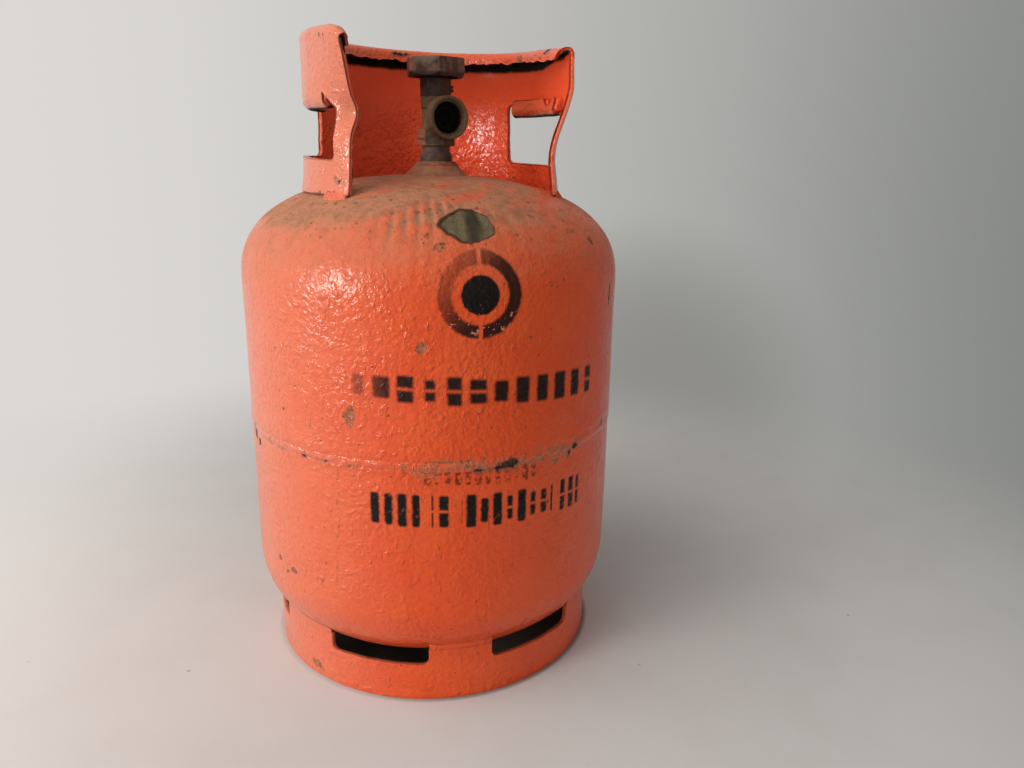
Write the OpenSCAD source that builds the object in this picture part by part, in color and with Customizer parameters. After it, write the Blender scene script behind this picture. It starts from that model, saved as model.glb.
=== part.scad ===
// Small refillable gas cylinder: two drawn steel shells joined by a girth weld, a notched foot ring,
// a C-shaped guard collar with two hand-holes, and a brass valve with a hexagonal hand wheel.
// Millimetres, +Z up, the floor at z = 0, the axis at x = y = 0, the valve outlet towards -Y.
// Angles round the axis are counted in degrees from -Y towards +X.

/* [Body] */
// Outside diameter of the shells
body_d = 250; // [235:1:320]
// Thickness of the shell sheet
shell_t = 2.6; // [2:0.1:3.4]
// Length of the straight wall between the two dished ends
wall_h = 184.7; // [120:0.1:360]
// Height of the upper dished end
upper_head_h = 66; // [56:1:80]
// Height of the lower dished end
lower_head_h = 63.3; // [54:0.1:76]
// Exponent of the dished ends: 2 is an ellipse, more is squarer
head_power = 2.42; // [2:0.02:2.8]
// Clear height between the floor and the bottom of the lower end
floor_gap = 9.5; // [6:0.5:20]
// Height of the girth seam above the start of the straight wall
seam_up = 92.5; // [30:0.5:100]
// Height of the stepped-in edge of the lower shell, inside the upper one
joggle_h = 11; // [6:0.5:20]
// Height of the girth weld
girth_weld_h = 4; // [3:0.5:6]
// How far the girth weld stands proud
girth_crown = 0.7; // [0.3:0.1:1.5]

/* [Foot ring] */
// Outside diameter of the foot ring
ring_d = 227.4; // [200:0.2:230]
// Thickness of the foot ring sheet
ring_t = 3; // [2:0.1:4]
// Number of vent notches in the ring's top edge
slot_n = 6; // [3:1:6]
// Angle of the first notch
slot_first = 9.6; // [-30:0.1:30]
// Angle from one notch to the next
slot_pitch = 61; // [58:0.5:62]
// Width of a notch round the ring
slot_w = 67; // [30:1:70]
// Depth of a notch below the ring's top edge
slot_depth = 11.8; // [6:0.1:14]
// Radius of a notch's lower corners
slot_corner = 4.5; // [2:0.5:5.5]
// Height of the weld legs under the lower end
ring_weld_leg = 1.8; // [1.5:0.1:3.5]

/* [Collar] */
// Outside diameter of the collar at its foot
collar_foot_d = 169; // [150:1:175]
// Outside diameter of the collar below its rim
collar_top_d = 161.6; // [146:0.2:170]
// Height over which the foot of the collar narrows
collar_taper = 25; // [15:1:40]
// Thickness of the collar sheet
collar_t = 3.2; // [2:0.1:4]
// Height of the collar from the top of the body to the top of its rim
collar_h = 83; // [70:1:100]
// Angle of the collar's right-hand free edge
collar_a1 = 44; // [40:1:60]
// Angle of the collar's left-hand free edge
collar_a2 = 299; // [290:1:302]
// Width of the leg between the right-hand free edge and its hand-hole
leg_a1 = 6; // [4:0.5:10]
// Width of the leg between the left-hand free edge and its hand-hole
leg_a2 = 9; // [4:0.5:10]
// Width of the right-hand hand-hole
hole_a1 = 59; // [45:1:65]
// Width of the left-hand hand-hole
hole_a2 = 66; // [50:1:72]
// Height of the lower edge of the hand-holes above the top of the body
hole_low = 8.7; // [4:0.1:14]
// Height of the fold line of the grips above the top of the body
hole_high = 47; // [42:0.5:52]
// Bend radius of the rolled rim, at mid-sheet
rim_bend = 3.6; // [2.6:0.1:5]
// Length of the lip below the rolled rim
lip_h = 3; // [1:0.5:6]
// Bend radius of the rolled grips, at mid-sheet
grip_bend = 3.6; // [2.6:0.1:4.5]
// Relief gap at each end of a grip
relief_a = 3.5; // [2:0.5:4]
// How far the right-hand end is bent outwards at the top
flare_right = 12.5; // [0:0.5:14]
// How far the left-hand end is bent outwards at the top
flare_left = 7; // [0:0.5:14]
// Depth of the dent in the left-hand leg
leg_dent = 6.5; // [0:0.5:8]
// How far the rim and the hand-holes wave up and down
rim_wave = 2; // [0:0.5:3]
// How far the rim droops at its two ends
rim_droop = 2.2; // [0:0.1:4]
// Radius of the rim's corner at the left-hand end
rim_corner = 4; // [0:0.5:6]
// Leg of the fillet welds at the collar's foot
collar_weld_leg = 4; // [2.5:0.5:5]

/* [Valve] */
// How far the valve stands off the body's axis, along +X
valve_x = 2.7; // [-4:0.1:4]
// How far the valve stands off the body's axis, along +Y
valve_y = -1.3; // [-4:0.1:4]
// Diameter of the steel bung in the upper end
bung_d = 30; // [28:0.5:36]
// Height of the bung above the top of the body
bung_up = 9; // [7:0.5:12]
// Depth of the bung below the top of the body
bung_down = 9; // [6:0.5:14]
// Diameter of the threaded hole in the bung
bung_bore = 21; // [20:0.1:22]
// Leg of the bung's weld along the body
bung_weld_leg = 5.6; // [4:0.1:8]
// Diameter of the valve's neck under its hexagon
neck_d = 18.2; // [17:0.1:20]
// Height of the neck above the bung
neck_h = 9.2; // [7:0.1:14]
// Width across flats of the valve's wrench hexagon
wrench_af = 21.5; // [21:0.1:26]
// Height of the wrench hexagon
wrench_h = 10.7; // [8:0.1:14]
// Diameter of the valve's upper body
column_d = 18; // [17.4:0.1:20]
// Height of the upper body above the wrench hexagon
column_h = 18.2; // [18:0.1:24]
// Outside diameter of the outlet
outlet_d = 26.8; // [25.6:0.1:30]
// Distance from the axis to the outlet's mouth
outlet_len = 20; // [19:0.5:32]
// Height of the outlet's axis above the wrench hexagon
outlet_up = 6.8; // [5:0.1:7.4]
// Diameter of the outlet's bore
outlet_bore = 20.8; // [19:0.1:21]
// Depth of the outlet's bore
outlet_depth = 9; // [7:0.1:9.4]
// Chamfer at the outlet's mouth
outlet_chamfer = 1.4; // [0.6:0.1:1.6]
// Diameter of the gas passage from below
inlet_bore = 6.4; // [4:0.1:7]
// Diameter of the side passage to the outlet
side_bore = 3.6; // [2:0.1:3.8]

/* [Bonnet and spindle] */
// Width across flats of the bonnet nut
bonnet_af = 17.4; // [16.6:0.1:22]
// Height of the bonnet nut
bonnet_h = 12.4; // [11:0.1:16]
// Thickness of the bonnet's gasket
gasket_t = 0.8; // [0.5:0.1:1.2]
// Diameter of the bonnet's threaded shank
bonnet_thread = 13.9; // [13.5:0.1:14.2]
// Length of the bonnet's threaded shank
bonnet_shank = 4.5; // [4:0.1:5]
// Diameter of the spindle
spindle_d = 9; // [8.6:0.1:9.4]
// Side of the square on top of the spindle
square_w = 6.2; // [5:0.1:6.3]
// Diameter of the O-rings' section
o_ring_d = 1.2; // [1:0.05:1.3]
// Diameter of the threaded seat holder
holder_d = 12; // [11.4:0.1:12.4]
// Wall of the holder's cup round the seat disc
cup_wall = 0.8; // [0.6:0.05:1]
// Lift of the seat holder when the valve is fully open
seat_lift = 2.25; // [1:0.05:2.3]

/* [Hand wheel] */
// Distance across the hand wheel's corners
wheel_w = 40.4; // [34:0.1:46]
// Height of the hand wheel
wheel_h = 11.6; // [11:0.1:16]
// Angle by which the wheel is turned at rest
wheel_turn = 11; // [0:1:59]
// Diameter of the wheel's screw
wheel_screw_d = 4; // [3:0.1:4.2]

/* [Clearances] */
// Gap left between two welded or seated pieces
seat_gap = 0.05; // [0.03:0.01:0.1]
// Radial clearance of turning and sliding pieces
run_gap = 0.07; // [0.04:0.01:0.09]

/* [Hidden] */
$fn = 96;
eps = 0.5;

// Heights of the body
body_r = body_d / 2;
low_z = floor_gap + lower_head_h;
high_z = low_z + wall_h;
seam_z = low_z + seam_up;
top_z = high_z + upper_head_h;
head_steps = 24;

// Foot ring: its top edge meets the lower end at the ring's inner face
ring_r = ring_d / 2;
ring_in = ring_r - ring_t;
ring_top = low_head_z(ring_in) - seat_gap;
slot_a = slot_w / ring_r * 180 / PI;

// Collar: mid-sheet radii, heights and the rows and columns of its grid
collar_foot_r = collar_foot_d / 2 - collar_t / 2;
collar_top_r = collar_top_d / 2 - collar_t / 2;
collar_foot_z = high_head_z(collar_foot_r - collar_t / 2) + seat_gap;
rim_z = top_z + collar_h - collar_t / 2 - rim_bend;
hole_z1 = top_z + hole_low;
hole_z2 = top_z + hole_high;
grip_z = hole_z2 - 3.5;
foot_rows = 2;
hole_rows = 7;
wall_rows = 5;
bend_rows = 6;
rows = foot_rows + hole_rows + wall_rows + bend_rows + 1;
hole_r0 = foot_rows;
hole_r1 = foot_rows + hole_rows;
bend_r0 = hole_r1 + wall_rows;
flare_a = 20;
hole_b1 = collar_a1 + leg_a1;
hole_b2 = collar_a2 - leg_a2 - hole_a2;
flare_a2 = 14;
cols = concat(
    span(collar_a1, hole_b1, 2),
    [hole_b1],
    span(hole_b1 + relief_a, hole_b1 + hole_a1 - relief_a, 11),
    [hole_b1 + hole_a1 - relief_a],
    span(hole_b1 + hole_a1, hole_b2, 22),
    [hole_b2],
    span(hole_b2 + relief_a, hole_b2 + hole_a2 - relief_a, 14),
    [hole_b2 + hole_a2 - relief_a],
    span(hole_b2 + hole_a2, collar_a2, 2),
    [collar_a2]);

// Valve heights, from the bung upwards
bung_z = top_z + bung_up;
wrench_z = bung_z + neck_h;
shank_bottom = top_z - bung_down - 2;
column_z = wrench_z + wrench_h;
column_top = column_z + column_h;
outlet_z = column_z + outlet_up;
outlet_taper = outlet_len - 8;
outlet_root_r = column_d / 2 - 1;
bonnet_z = column_top + gasket_t;
bonnet_top = bonnet_z + bonnet_h;
shank_z = column_top - bonnet_shank;

// Inside the valve: the seat, the chamber that the holder turns in and the bonnet's thread
chamber_floor = column_z - 0.9;
crown_h = 1.1;
crown_w = 1;
crown_z = chamber_floor + crown_h;
chamber_r = holder_d / 2 + run_gap;
thread_r = bonnet_thread / 2 + seat_gap;
flange_h = 2;
flange_z = shank_z - 0.1 - flange_h;
disc_z = crown_z + seat_gap;
nose_r = holder_d / 2 - 0.5;
disc_r = nose_r - cup_wall - seat_gap;
disc_t = 2.1;
disc_stand = 0.55;
holder_z = disc_z + disc_stand;
holder_nose = 3.3;
holder_top = flange_z - seat_lift - 0.35;
tang_w = 3;
tang_len = 8;
slot_floor = flange_z - 4.4 - seat_lift - 0.15;
groove_h = o_ring_d + 0.4;
lower_groove_z = bonnet_z + 1.2;
upper_groove_z = bonnet_top - 1.2 - groove_h;
groove_r = spindle_d / 2 - o_ring_d - seat_gap;
lock_r = 1.5;
lock_z = (bonnet_z + bonnet_top) / 2;

// Hand wheel
wheel_z = bonnet_top + 0.3;
wheel_top = wheel_z + wheel_h;
wheel_hub_r = 7.5;
wheel_wall = 2.6;
recess_r = 7;
recess_h = 2.2;
washer_t = 0.7;
square_top = wheel_z + 7.1;

// Height of a dished end above its straight edge, at radius r, for an end a wide and b high
function dish(r, a, b) = b * pow(max(0, 1 - pow(r / a, head_power)), 1 / head_power);
function high_head_z(r) = high_z + dish(r, body_r, upper_head_h);
function low_head_z(r) = low_z - dish(r, body_r, lower_head_h);

// n values from a towards b, without b itself
function span(a, b, n) = [for (i = [0 : n - 1]) a + (b - a) * i / n];

// A point at radius r, angle a from -Y and height z
function polar(r, a, z) = [r * sin(a), -r * cos(a), z];

// 0 below lo, 1 above hi, smooth between
function ease(v, lo, hi) = let (t = min(1, max(0, (v - lo) / (hi - lo)))) t * t * (3 - 2 * t);

// A hump 1 high at v = mid, and w wide
function hump(v, mid, w) = exp(-pow((v - mid) / w, 2));

// Half outline of a dished end, from its edge to radius r_end
function dish_points(a, b, r_end) =
    let (t_end = acos(pow(r_end / a, head_power / 2)))
    [for (i = [0 : head_steps])
        let (t = t_end * i / head_steps)
        [a * pow(cos(t), 2 / head_power), b * pow(sin(t), 2 / head_power)]];

// The same outline laid at height z, pointing up (s = 1) or down (s = -1)
function dish_at(a, b, r_end, z, s) = [for (p = dish_points(a, b, r_end)) [p[0], z + s * p[1]]];
function back(list) = [for (i = [len(list) - 1 : -1 : 0]) list[i]];

// A ring sector from angle a1 to a2, with children as its half section
module sector(a1, a2) {
    rotate([0, 0, a1 - 90])
        rotate_extrude(angle = a2 - a1)
            children();
}

// Everything on the valve's axis
module at_valve() {
    translate([valve_x, valve_y, 0])
        children();
}

// A hexagonal prism of width w across its corners, one corner towards -Y
module hexagon(w, h) {
    rotate([0, 0, 30])
        cylinder(d = w, h = h, $fn = 6);
}

module upper_shell() {
    edge_z = seam_z + girth_weld_h / 2;
    outer = dish_at(body_r, upper_head_h, 0, high_z, 1);
    inner = dish_at(body_r - shell_t, upper_head_h - shell_t, 0, high_z, 1);
    color([0.80, 0.28, 0.14])
        difference() {
            rotate_extrude()
                polygon(concat([[body_r - shell_t, edge_z], [body_r, edge_z]], outer, back(inner)));
            at_valve()
                translate([0, 0, top_z - 2 * bung_down])
                    cylinder(d = bung_d + 2 * seat_gap, h = 3 * bung_down);
        }
}

module lower_shell() {
    edge_z = seam_z - girth_weld_h / 2;
    step_r = body_r - shell_t - seat_gap;
    outer = dish_at(body_r, lower_head_h, 0, low_z, -1);
    inner = dish_at(body_r - shell_t, lower_head_h - shell_t, 0, low_z, -1);
    color([0.78, 0.26, 0.13])
        rotate_extrude()
            polygon(concat(
                back(outer),
                [[body_r, edge_z],
                 [step_r, edge_z + shell_t + seat_gap],
                 [step_r, seam_z + joggle_h],
                 [step_r - shell_t, seam_z + joggle_h],
                 [step_r - shell_t, edge_z],
                 [body_r - shell_t, edge_z - shell_t]],
                inner));
}

// The weld fills the groove between the two shells and stands a little proud
module girth_weld() {
    z1 = seam_z - girth_weld_h / 2 + seat_gap;
    z2 = seam_z + girth_weld_h / 2 - seat_gap;
    root_r = body_r - shell_t + seat_gap;
    color([0.62, 0.30, 0.17])
        rotate_extrude()
            polygon([
                [root_r, z1 + shell_t],
                [body_r, z1 + seat_gap],
                [body_r + girth_crown, seam_z - girth_weld_h / 6],
                [body_r + girth_crown, seam_z + girth_weld_h / 6],
                [body_r, z2],
                [root_r, z2]]);
}

// Angle of notch i, at its middle
function slot_mid(i) = slot_first + i * slot_pitch;

// Outline of a notch seen from outside: open at the top, with round lower corners
module notch_outline() {
    w = 2 * ring_r * sin(slot_a / 2);
    translate([-w / 2, slot_corner])
        square([w, slot_depth]);
    translate([slot_corner - w / 2, 0])
        square([w - 2 * slot_corner, slot_depth]);
    for (x = [slot_corner - w / 2, w / 2 - slot_corner])
        translate([x, slot_corner])
            circle(r = slot_corner, $fn = 32);
}

// The cut for one notch, straight through the ring's wall at angle mid
module notch(mid) {
    depth = ring_r - ring_in * cos(slot_a / 2) + 2 * eps;
    rotate([0, 0, mid])
        translate([0, -ring_r - eps, ring_top - slot_depth])
            rotate([90, 0, 180])
                linear_extrude(depth)
                    notch_outline();
}

module foot_ring() {
    color([0.74, 0.25, 0.13])
        difference() {
            rotate_extrude()
                translate([ring_in, 0])
                    square([ring_t, ring_top]);
            for (i = [0 : slot_n - 1])
                notch(slot_mid(i));
        }
}

// A fillet between the foot ring and the lower end, on each land between two notches
module foot_ring_welds() {
    land = 1.5;
    color([0.70, 0.27, 0.15])
        for (i = [0 : slot_n - 1]) {
            a1 = slot_mid(i) + slot_a / 2 + land;
            a2 = (i < slot_n - 1 ? slot_mid(i + 1) : slot_mid(0) + 360) - slot_a / 2 - land;
            sector(a1, a2)
                difference() {
                    polygon([
                        [ring_r + seat_gap, ring_top - ring_weld_leg],
                        [ring_r + ring_weld_leg, ring_top + 2.4],
                        [ring_r + ring_weld_leg, ring_top + 12],
                        [ring_r + seat_gap, ring_top + 12]]);
                    polygon(concat(
                        [[0, low_z + eps]],
                        [[body_r + seat_gap, low_z + eps]],
                        dish_at(body_r + seat_gap, lower_head_h + seat_gap, 0, low_z, -1)));
                }
        }
}

// Mid-sheet radius of the collar at height z, before bending
function collar_r(z) =
    collar_top_r + (collar_foot_r - collar_top_r) * exp(-(z - collar_foot_z) / collar_taper);

// Bending of the free ends, outwards positive, at angle a and height z
function bend_out(a, z) =
    flare_right * hump(a, collar_a1, flare_a) * ease(z, hole_z1, hole_z2 + 14)
    + flare_left * hump(a, collar_a2, flare_a2) * ease(z, hole_z2 - 6, rim_z + 6)
    - leg_dent * hump(a, collar_a2, 8) * hump(z, (hole_z1 + hole_z2) / 2 + 7.5, 9);

// Height wave at angle a, at the lower edge of the hand-holes and at the rim
function wave(a, z) =
    rim_wave * sin(a - 130) * (ease(z, hole_z2, rim_z) + hump(z, hole_z1, 8))
    - rim_droop * (hump(a, collar_a1, flare_a) + hump(a, collar_a2, flare_a)) * ease(z, hole_z2, rim_z)
    - rim_corner * round_off((a - collar_a2) / 3.2 + 1) * ease(z, rim_z - 12, rim_z);

// Fall of a quarter circle of radius 1, from its crown at v = 0 to v = 1
function round_off(v) = 1 - sqrt(1 - pow(min(0.98, max(0, v)), 2));

// How far the rim is rolled over: less at the two ends
function roll(a) = 180 - 100 * (1 - ease(a, collar_a1, collar_a1 + 14) * ease(-a, -collar_a2, 9 - collar_a2));

// Section of the collar: [radius, height, direction of the sheet's outer face], at angle a and row k
function wall_at(k) =
    k <= hole_r0 ? collar_foot_z + (hole_z1 - collar_foot_z) * k / foot_rows
    : k <= hole_r1 ? hole_z1 + (hole_z2 - hole_z1) * (k - hole_r0) / hole_rows
    : hole_z2 + (rim_z - hole_z2) * (k - hole_r1) / wall_rows;
function rim_at(a, k) =
    let (t = min(1, (k - bend_r0) / bend_rows) * roll(a))
    let (r0 = collar_r(rim_z) - rim_bend)
    let (drop = k == rows ? lip_h * ease(roll(a), 120, 180) : 0)
    [r0 + rim_bend * cos(t), rim_z + rim_bend * sin(t) - drop, t];
function grip_at(k) =
    let (i = hole_r1 - 1 - k)
    let (t = -min(180, 45 * i))
    let (r0 = collar_r(grip_z) - grip_bend)
    [r0 + grip_bend * cos(t), grip_z + grip_bend * sin(t) + (i > 4 ? 4.5 : 0), t];
function section(a, k, in_grip) =
    in_grip ? grip_at(k)
    : k <= bend_r0 ? [collar_r(wall_at(k)), wall_at(k), 0]
    : rim_at(a, k);

// Is angle a inside a hand-hole, between its relief gaps
function in_hole(a, gap) =
    (a > hole_b1 + gap && a < hole_b1 + hole_a1 - gap) || (a > hole_b2 + gap && a < hole_b2 + hole_a2 - gap);
function is_grip(a, k) = in_hole(a, relief_a - 0.01) && k > hole_r0 && k < hole_r1;

// A point of the sheet: column c, row k, side 1 outside or -1 inside
function sheet_point(c, k, side) =
    let (a = cols[c])
    let (s = section(a, k, is_grip(a, k)))
    let (z = s[1] + side * collar_t / 2 * sin(s[2]))
    let (r = s[0] + side * collar_t / 2 * cos(s[2]))
    polar(r + bend_out(a, s[1]), a, z + wave(a, s[1]));

// Is the cell right of column c and above row k made of sheet
function has_cell(c, k) =
    c >= 0 && c < len(cols) - 1 && k >= 0 && k < rows
    && (k < hole_r0 || k >= hole_r1
        || !in_hole((cols[c] + cols[c + 1]) / 2, 0)
        || (k > hole_r0 && in_hole((cols[c] + cols[c + 1]) / 2, relief_a)));

// Index of a point, and the faces of one cell with a wall wherever its neighbour is missing
function at(c, k, side) = (c * (rows + 1) + k) * 2 + (side > 0 ? 1 : 0);
function quad(p) = [[p[0], p[1], p[2]], [p[0], p[2], p[3]]];
function cell_faces(c, k) =
    let (o = [for (n = [[0, 0], [0, 1], [1, 1], [1, 0]]) at(c + n[0], k + n[1], 1)])
    let (i = [for (n = [[0, 0], [0, 1], [1, 1], [1, 0]]) at(c + n[0], k + n[1], -1)])
    concat(
        quad([o[0], o[1], o[2], o[3]]),
        quad([i[0], i[3], i[2], i[1]]),
        has_cell(c, k - 1) ? [] : quad([o[0], o[3], i[3], i[0]]),
        has_cell(c, k + 1) ? [] : quad([i[1], i[2], o[2], o[1]]),
        has_cell(c - 1, k) ? [] : quad([i[0], i[1], o[1], o[0]]),
        has_cell(c + 1, k) ? [] : quad([o[3], o[2], i[2], i[3]]));

module collar() {
    points = [for (c = [0 : len(cols) - 1], k = [0 : rows], side = [-1, 1]) sheet_point(c, k, side)];
    faces = [for (c = [0 : len(cols) - 2], k = [0 : rows - 1]) if (has_cell(c, k)) each cell_faces(c, k)];
    color([0.84, 0.33, 0.20])
        polyhedron(points, faces, convexity = 10);
}

// Stitch welds outside the collar's foot
module collar_welds() {
    spots = [[collar_a1 + 2, 14], [112, 18], [158, 18], [206, 18], [collar_a2 - 14, 12]];
    foot_r = collar_foot_d / 2 + seat_gap;
    color([0.66, 0.28, 0.16])
        for (s = spots)
            sector(s[0], s[0] + s[1])
                difference() {
                    polygon([
                        [foot_r, collar_foot_z - 10],
                        [foot_r + collar_weld_leg, collar_foot_z - 10],
                        [foot_r + collar_weld_leg, high_head_z(foot_r + collar_weld_leg)],
                        [foot_r, collar_foot_z + collar_weld_leg - 1]]);
                    polygon(concat(
                        [[0, high_z - eps], [body_r + seat_gap, high_z - eps]],
                        dish_at(body_r + seat_gap, upper_head_h + seat_gap, 0, high_z, 1)));
                }
}

// Height that clears the upper end at radius r round the valve's axis
function bung_floor(r) = high_head_z(max(0, r - norm([valve_x, valve_y]))) + seat_gap;

// Height of the bung's outer corner, on the line from the weld's toe to the bung's top
bung_top_r = bung_bore / 2 + 0.7;
weld_toe_r = bung_d / 2 + bung_weld_leg;
toe_z = bung_floor(weld_toe_r);
bung_edge_z = toe_z + (bung_z - toe_z) * bung_weld_leg / (weld_toe_r - bung_top_r);

module valve_bung() {
    color([0.55, 0.33, 0.24])
        rotate_extrude()
            polygon([
                [bung_bore / 2, top_z - bung_down],
                [bung_d / 2, top_z - bung_down],
                [bung_d / 2, bung_edge_z],
                [bung_top_r, bung_z],
                [bung_bore / 2, bung_z]]);
}

module bung_weld() {
    r = bung_d / 2 + seat_gap;
    color([0.60, 0.34, 0.22])
        rotate_extrude()
            polygon([[r, bung_floor(r)], [weld_toe_r, toe_z], [r, bung_edge_z]]);
}

// A cylinder along -Y at the outlet's height, from y1 to y2 in front of the axis
module along_outlet(y1, y2, r1, r2, dz = 0) {
    translate([0, 0, outlet_z + dz])
        rotate([90, 0, 0])
            translate([0, 0, y1])
                cylinder(r1 = r1, r2 = r2, h = y2 - y1);
}

module valve_solid() {
    shank_r = bung_bore / 2 - seat_gap;
    translate([0, 0, shank_bottom])
        cylinder(r = shank_r, h = bung_z + neck_h * 0.45 - shank_bottom);
    translate([0, 0, bung_z + neck_h * 0.45])
        cylinder(r1 = shank_r, r2 = neck_d / 2, h = neck_h * 0.2);
    translate([0, 0, bung_z + neck_h * 0.65])
        cylinder(d = neck_d, h = neck_h * 0.35 + 1);
    translate([0, 0, wrench_z])
        hexagon(wrench_af / cos(30), wrench_h);
    translate([0, 0, wrench_z + 2])
        cylinder(d = column_d, h = column_top - wrench_z - 2);
    along_outlet(0, outlet_taper - 6, outlet_root_r, outlet_root_r);
    along_outlet(outlet_taper - 6, outlet_taper, outlet_root_r, outlet_d / 2);
    along_outlet(outlet_taper, outlet_len, outlet_d / 2, outlet_d / 2);
}

module valve_body() {
    bore_end = outlet_len - outlet_depth;
    color([0.42, 0.34, 0.24])
        difference() {
            valve_solid();
            // Gas passage from below, and the chamber round the raised seat
            translate([0, 0, shank_bottom - eps])
                cylinder(d = inlet_bore, h = crown_z - shank_bottom + 2 * eps);
            translate([0, 0, crown_z])
                cylinder(r = chamber_r, h = column_top - crown_z);
            difference() {
                translate([0, 0, chamber_floor])
                    cylinder(r = chamber_r, h = crown_h + eps);
                translate([0, 0, chamber_floor - eps])
                    cylinder(r = inlet_bore / 2 + crown_w, h = crown_h + eps);
            }
            // Thread for the bonnet
            translate([0, 0, flange_z - 0.2])
                cylinder(r = thread_r, h = column_top - flange_z + eps);
            // Outlet: mouth chamfer, bore, cone seat and side passage
            along_outlet(outlet_len - outlet_chamfer, outlet_len + eps,
                outlet_bore / 2, outlet_bore / 2 + outlet_chamfer + eps);
            along_outlet(bore_end, outlet_len, outlet_bore / 2, outlet_bore / 2);
            along_outlet(bore_end - 3, bore_end + 0.01, 3, 7);
            along_outlet(0, bore_end, side_bore / 2, side_bore / 2, holder_z + 1.8 - outlet_z);
        }
}

module bonnet_nut() {
    color([0.20, 0.17, 0.14])
        difference() {
            union() {
                translate([0, 0, shank_z])
                    cylinder(d = bonnet_thread, h = bonnet_z - shank_z + eps);
                translate([0, 0, bonnet_z])
                    hexagon(bonnet_af / cos(30), bonnet_h);
            }
            translate([0, 0, shank_z - eps])
                cylinder(r = spindle_d / 2 + run_gap, h = bonnet_top - shank_z + 2 * eps);
            // Hole for the lock screw, towards +X
            translate([spindle_d / 2 + 1.3, 0, lock_z])
                rotate([0, 90, 0])
                    cylinder(r = lock_r + seat_gap, h = bonnet_af);
        }
}

module bonnet_gasket() {
    color([0.75, 0.72, 0.62])
        translate([0, 0, column_top])
            difference() {
                cylinder(d = column_d - 0.4, h = gasket_t);
                translate([0, 0, -eps])
                    cylinder(r = thread_r, h = gasket_t + 2 * eps);
            }
}

module bonnet_lock_screw() {
    face_x = bonnet_af / 2;
    color([0.18, 0.16, 0.14])
        translate([0, 0, lock_z])
            rotate([0, 90, 0]) {
                translate([0, 0, spindle_d / 2 + 1.4])
                    cylinder(r = lock_r, h = face_x - spindle_d / 2 - 1.4 + 0.1);
                difference() {
                    translate([0, 0, face_x])
                        cylinder(r = 2.2, h = 3.4);
                    translate([-0.4, -3, face_x + 2.4])
                        cube([0.8, 6, 2]);
                }
            }
}

module spindle() {
    color([0.55, 0.52, 0.42])
        difference() {
            union() {
                translate([-tang_w / 2, -tang_len / 2, flange_z - 4.4])
                    cube([tang_w, tang_len, 4.4 + eps]);
                translate([0, 0, flange_z])
                    cylinder(r = thread_r - 0.6, h = flange_h);
                translate([0, 0, flange_z])
                    cylinder(d = spindle_d, h = wheel_z - seat_gap - flange_z);
                translate([-square_w / 2, -square_w / 2, wheel_z - eps])
                    cube([square_w, square_w, square_top - wheel_z + eps]);
            }
            for (z = [lower_groove_z, upper_groove_z])
                translate([0, 0, z])
                    difference() {
                        cylinder(d = spindle_d + 2, h = groove_h);
                        translate([0, 0, -eps])
                            cylinder(r = groove_r, h = groove_h + 2 * eps);
                    }
            // Tapped hole for the wheel's screw
            translate([0, 0, wheel_z + 1])
                cylinder(d = wheel_screw_d + 2 * seat_gap, h = square_top);
        }
}

// An O-ring in the groove whose floor is at height z
module o_ring(z) {
    color([0.08, 0.08, 0.08])
        translate([0, 0, z + groove_h / 2])
            rotate_extrude()
                translate([groove_r + seat_gap + o_ring_d / 2, 0])
                    circle(d = o_ring_d, $fn = 32);
}

module upper_o_ring() {
    o_ring(upper_groove_z);
}

module lower_o_ring() {
    o_ring(lower_groove_z);
}

module seat_holder() {
    color([0.65, 0.56, 0.32])
        difference() {
            union() {
                translate([0, 0, holder_z])
                    cylinder(r = nose_r, h = holder_nose + eps);
                translate([0, 0, holder_z + holder_nose])
                    cylinder(d = holder_d, h = holder_top - holder_z - holder_nose);
            }
            translate([0, 0, holder_z - eps])
                cylinder(r = nose_r - cup_wall, h = disc_t - disc_stand + seat_gap + eps);
            translate([-tang_w / 2 - run_gap, -tang_len / 2 - run_gap, slot_floor])
                cube([tang_w + 2 * run_gap, tang_len + 2 * run_gap, holder_top]);
        }
}

module seat_disc() {
    color([0.88, 0.88, 0.84])
        translate([0, 0, disc_z])
            cylinder(r = disc_r, h = disc_t);
}

module handwheel() {
    r = wheel_w / 2;
    color([0.30, 0.20, 0.17])
        rotate([0, 0, wheel_turn])
            difference() {
                intersection() {
                    translate([0, 0, wheel_z])
                        cylinder(r = r, h = wheel_h, $fn = 6);
                    rotate_extrude()
                        polygon([
                            [0, wheel_z], [r - 2.6, wheel_z], [r + 0.1, wheel_z + 2.4],
                            [r + 0.1, wheel_top - 1.2], [r - 1.2, wheel_top], [0, wheel_top]]);
                }
                // Hollow underside round the hub
                difference() {
                    translate([0, 0, wheel_z - eps])
                        cylinder(r = r * cos(30) - wheel_wall, h = 5.5 + eps);
                    translate([0, 0, wheel_z - 2 * eps])
                        cylinder(r = wheel_hub_r, h = 5.5 + 3 * eps);
                }
                rotate([0, 0, -wheel_turn])
                    translate([-square_w / 2 - seat_gap, -square_w / 2 - seat_gap, wheel_z - eps])
                        cube([square_w + 2 * seat_gap, square_w + 2 * seat_gap, square_top - wheel_z + eps]);
                cylinder(d = wheel_screw_d + 0.4, h = wheel_top + eps);
                translate([0, 0, wheel_top - recess_h])
                    cylinder(r = recess_r, h = recess_h + eps);
            }
}

module wheel_washer() {
    color([0.40, 0.34, 0.30])
        translate([0, 0, wheel_top - recess_h])
            difference() {
                cylinder(r = recess_r - 1.4, h = washer_t);
                translate([0, 0, -eps])
                    cylinder(d = wheel_screw_d + 0.2, h = washer_t + 2 * eps);
            }
}

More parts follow.
